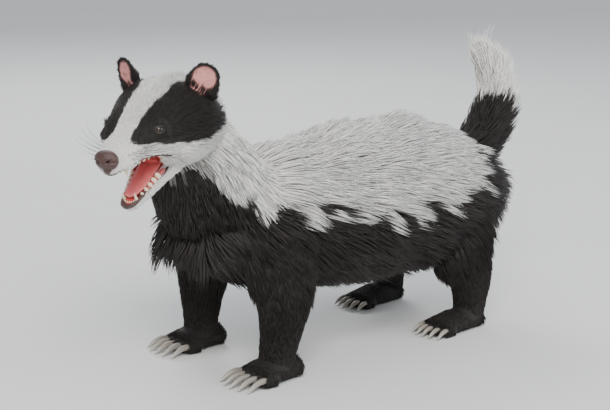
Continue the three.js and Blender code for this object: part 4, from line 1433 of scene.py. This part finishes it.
IVORY = (rgb(0.82, 0.76, 0.6), rgb(0.62, 0.5, 0.32))
ENAMEL = two_tone("tooth_enamel", (220.0, 2.0), IVORY, ("grain", 600.0), (0.0003, 0.2), 0.22)
for name, frame_of, row in (
    ("teeth_upper", HEAD_FRAME, UPPER_TEETH), ("teeth_lower", JAW_FRAME, LOWER_TEETH),
):
    shown(name, mesh_of(name, *joined(tooth_row(frame_of, *row))), ENAMEL)

# %% Gums and tongue
GUM_RADIUS = 2.9
GUM_TONES = (rgb(0.42, 0.1, 0.09), rgb(0.3, 0.06, 0.06))
TONGUE_TONES = (rgb(0.62, 0.16, 0.15), rgb(0.5, 0.1, 0.11))
FLESH_BUMP = (("cells", 900.0), (0.0006, 0.35), 0.3)
GUM = two_tone("gum_flesh", (120.0, 3.0), GUM_TONES, *FLESH_BUMP)
TONGUE = two_tone("tongue_flesh", (120.0, 3.0), TONGUE_TONES, *FLESH_BUMP)
UPPER_GUM = np.array([
    [-70, 24, -15], [-92, 21.5, -12.5], [-122, 14.5, -12],
    [-134, 11, -12], [-141, 5.5, -12], [-141.5, 2, -12],
])
LOWER_GUM = np.array([
    [-46, 19, -3], [-58, 16.5, -2], [-86, 11, -1.6],
    [-96, 8, -1.4], [-100.5, 4, -1.4], [-101, 1.5, -1.4],
])
TONGUE_ROWS = [
    [-22, 0, -1, 6, 8, 13], [-50, 0, 0.5, 4.5, 7, 13.5], [-74, 0, 2.5, 3.8, 5, 12], [-91, 0, 6, 3, 3, 9],
]
for name, rows, frame_of in (("upper_gum", UPPER_GUM, HEAD_FRAME), ("lower_gum", LOWER_GUM, JAW_FRAME)):
    gum = tube(placed(arch(rows), frame_of), np.full(RIM_STEPS, GUM_RADIUS), 12)
    shown(name, mesh_of(name, *joined([gum])), GUM)


def tongue_grid():
    """A flattened tube along the jaw whose top sinks by a smooth groove along its middle."""
    points, count, sides = Form(TONGUE_ROWS, (4, 6), frame_of=JAW_FRAME).grid(40, 36)
    own = in_frame(points, JAW_FRAME)
    on_top = soft_step(own[:, 2] - 1.5, 3)
    own[:, 2] -= 1.7 * np.exp(-(own[:, 1] / 2.2) ** 2) * on_top
    return placed(own, JAW_FRAME), count, sides


shown("tongue_wet", mesh_of("tongue_wet", *joined([tongue_grid()])), TONGUE, ["tongue"])

# %% [markdown]
# Claws. A digging animal's claws are long, nearly straight and blunt, much longer on the fore feet.
# The horn is grey with fine lines along it and is worn paler at the tip.

# %% Claws
CLAW_STEPS = 22
CLAW_SIDES = 12
CLAW_FAN = 0.05
CLAW_TIP_HEIGHT = 2.2


def claw_grid(paw, side, number):
    """One claw: a tube from inside the toe that runs forward and curves down to just off the floor."""
    reach, radius = paw["claw"]
    x, y, z = toe_places(paw)[number]
    fan = (number - (TOES - 1) / 2) * CLAW_FAN
    base = x - paw["toe"][0] + 8
    share = np.linspace(0, 1, CLAW_STEPS)
    ahead = (reach + 3) * share
    high = table([(0, z + 2), (0.35, z + 3.4), (0.7, z * 0.85 + 1.4), (1, CLAW_TIP_HEIGHT)], share)
    smooth = curve(np.stack([high[::7]], -1), share * 3)[:, 0]
    path = np.stack([base - ahead, y + ahead * fan, smooth], -1)
    radii = radius * (1 - 0.12 * share - 0.7 * share ** 3.5)
    return tube(placed(path, paw_frame(paw, side)), radii, CLAW_SIDES, flatten=1.1)


def horn_material():
    """Grey horn, streaked along the claw and paler where it is worn."""
    graph = Graph("claw_horn")
    sizes = {"Vector": graph.place(), "Scale": (60.0, 900.0, 500.0)}
    stretch = graph.value("ShaderNodeMapping", {}, sizes)
    streaks = graph.value("ShaderNodeTexNoise", {}, {"Vector": stretch, "Scale": 1.0, "Detail": 3.0})
    dark = graph.mixed(streaks, rgb(0.15, 0.13, 0.11), rgb(0.3, 0.27, 0.23))
    colour = graph.mixed(graph.attribute("wear", "Fac"), dark, rgb(0.46, 0.43, 0.38))
    return graph.finish(
        bump=streaks, distance=0.0004, strength=0.4, Base_Color=colour, Roughness=0.34
    )


HORN = horn_material()
wear = np.append(np.repeat(np.linspace(0, 1, CLAW_STEPS) ** 2, CLAW_SIDES), [0, 1])
for end, paw in PAWS.items():
    for side_name, side in LEFT_RIGHT:
        name = f"claws_{end}_{side_name}"
        mesh = mesh_of(name, *joined([claw_grid(paw, side, n) for n in range(TOES)]))
        keep(mesh, "wear", np.tile(wear, TOES))
        claw_nodes = [f"{end}claw_{side_name}_{n + 1}" for n in range(TOES)]
        shown(name, mesh, HORN, claw_nodes)

# %% [markdown]
# The setting: a plain pale floor that curves up nowhere, soft lamps as in a studio, and the camera at
# the picture's angle, a little above the animal and ahead of its left side.

# %% Floor
def floor_material():
    """Matt, nearly white, with a very faint mottle."""
    graph = Graph("studio_floor")
    colour = graph.mixed(graph.grain(3.0), rgb(0.74, 0.74, 0.73), rgb(0.78, 0.78, 0.77))
    return graph.finish(Base_Color=colour, Roughness=0.8, Specular_IOR_Level=0.2)


FLOOR_HALF = 12000.0
floor_points = np.array([[-1, -1, 0], [1, -1, 0], [1, 1, 0], [-1, 1, 0]]) * FLOOR_HALF
floor_mesh = mesh_of("floor", floor_points, np.array([[0, 1, 2, 3]]))
floor_mesh.materials.append(floor_material())
linked("floor", floor_mesh)

# %% Lamps and sky
def lamp(name, place, aim, size, power, colour):
    """A square soft lamp at a place in metres, pointed at another."""
    light = bpy.data.lights.new(name, "AREA")
    light.shape = "SQUARE"
    light.size = size
    light.energy = power
    light.color = colour
    holder = linked(name, light)
    holder.location = place
    holder.rotation_euler = (Vector(aim) - Vector(place)).to_track_quat("-Z", "Y").to_euler()


lamp("key", (-1.6, -2.2, 2.3), (0, 0, 0.15), 1.6, 120, (1.0, 0.98, 0.95))
lamp("fill", (1.9, -1.9, 1.2), (0, 0, 0.15), 2.2, 36, (0.93, 0.96, 1.0))
lamp("rim", (1.0, 2.3, 2.2), (0, 0, 0.2), 1.4, 46, (1.0, 1.0, 1.0))
world = bpy.data.worlds.new("studio")
world.use_nodes = True
world.node_tree.nodes["Background"].inputs["Color"].default_value = rgb(0.9, 0.94, 1.0)
world.node_tree.nodes["Background"].inputs["Strength"].default_value = 0.7
bpy.context.scene.world = world

# %% Camera
AZIMUTH, ELEVATION = math.radians(-39), math.radians(13)
AIM = (-0.022, -0.014, 0.197)
CAMERA_DISTANCE = 1.9
back = Vector((
    math.sin(AZIMUTH) * math.cos(ELEVATION),
    -math.cos(AZIMUTH) * math.cos(ELEVATION),
    math.sin(ELEVATION),
))
lens = bpy.data.cameras.new("camera")
lens.lens = 85
lens.sensor_width = 36
camera = linked("camera", lens)
camera.location = Vector(AIM) + back * CAMERA_DISTANCE
camera.rotation_euler = (-back).to_track_quat("-Z", "Y").to_euler()
bpy.context.scene.camera = camera
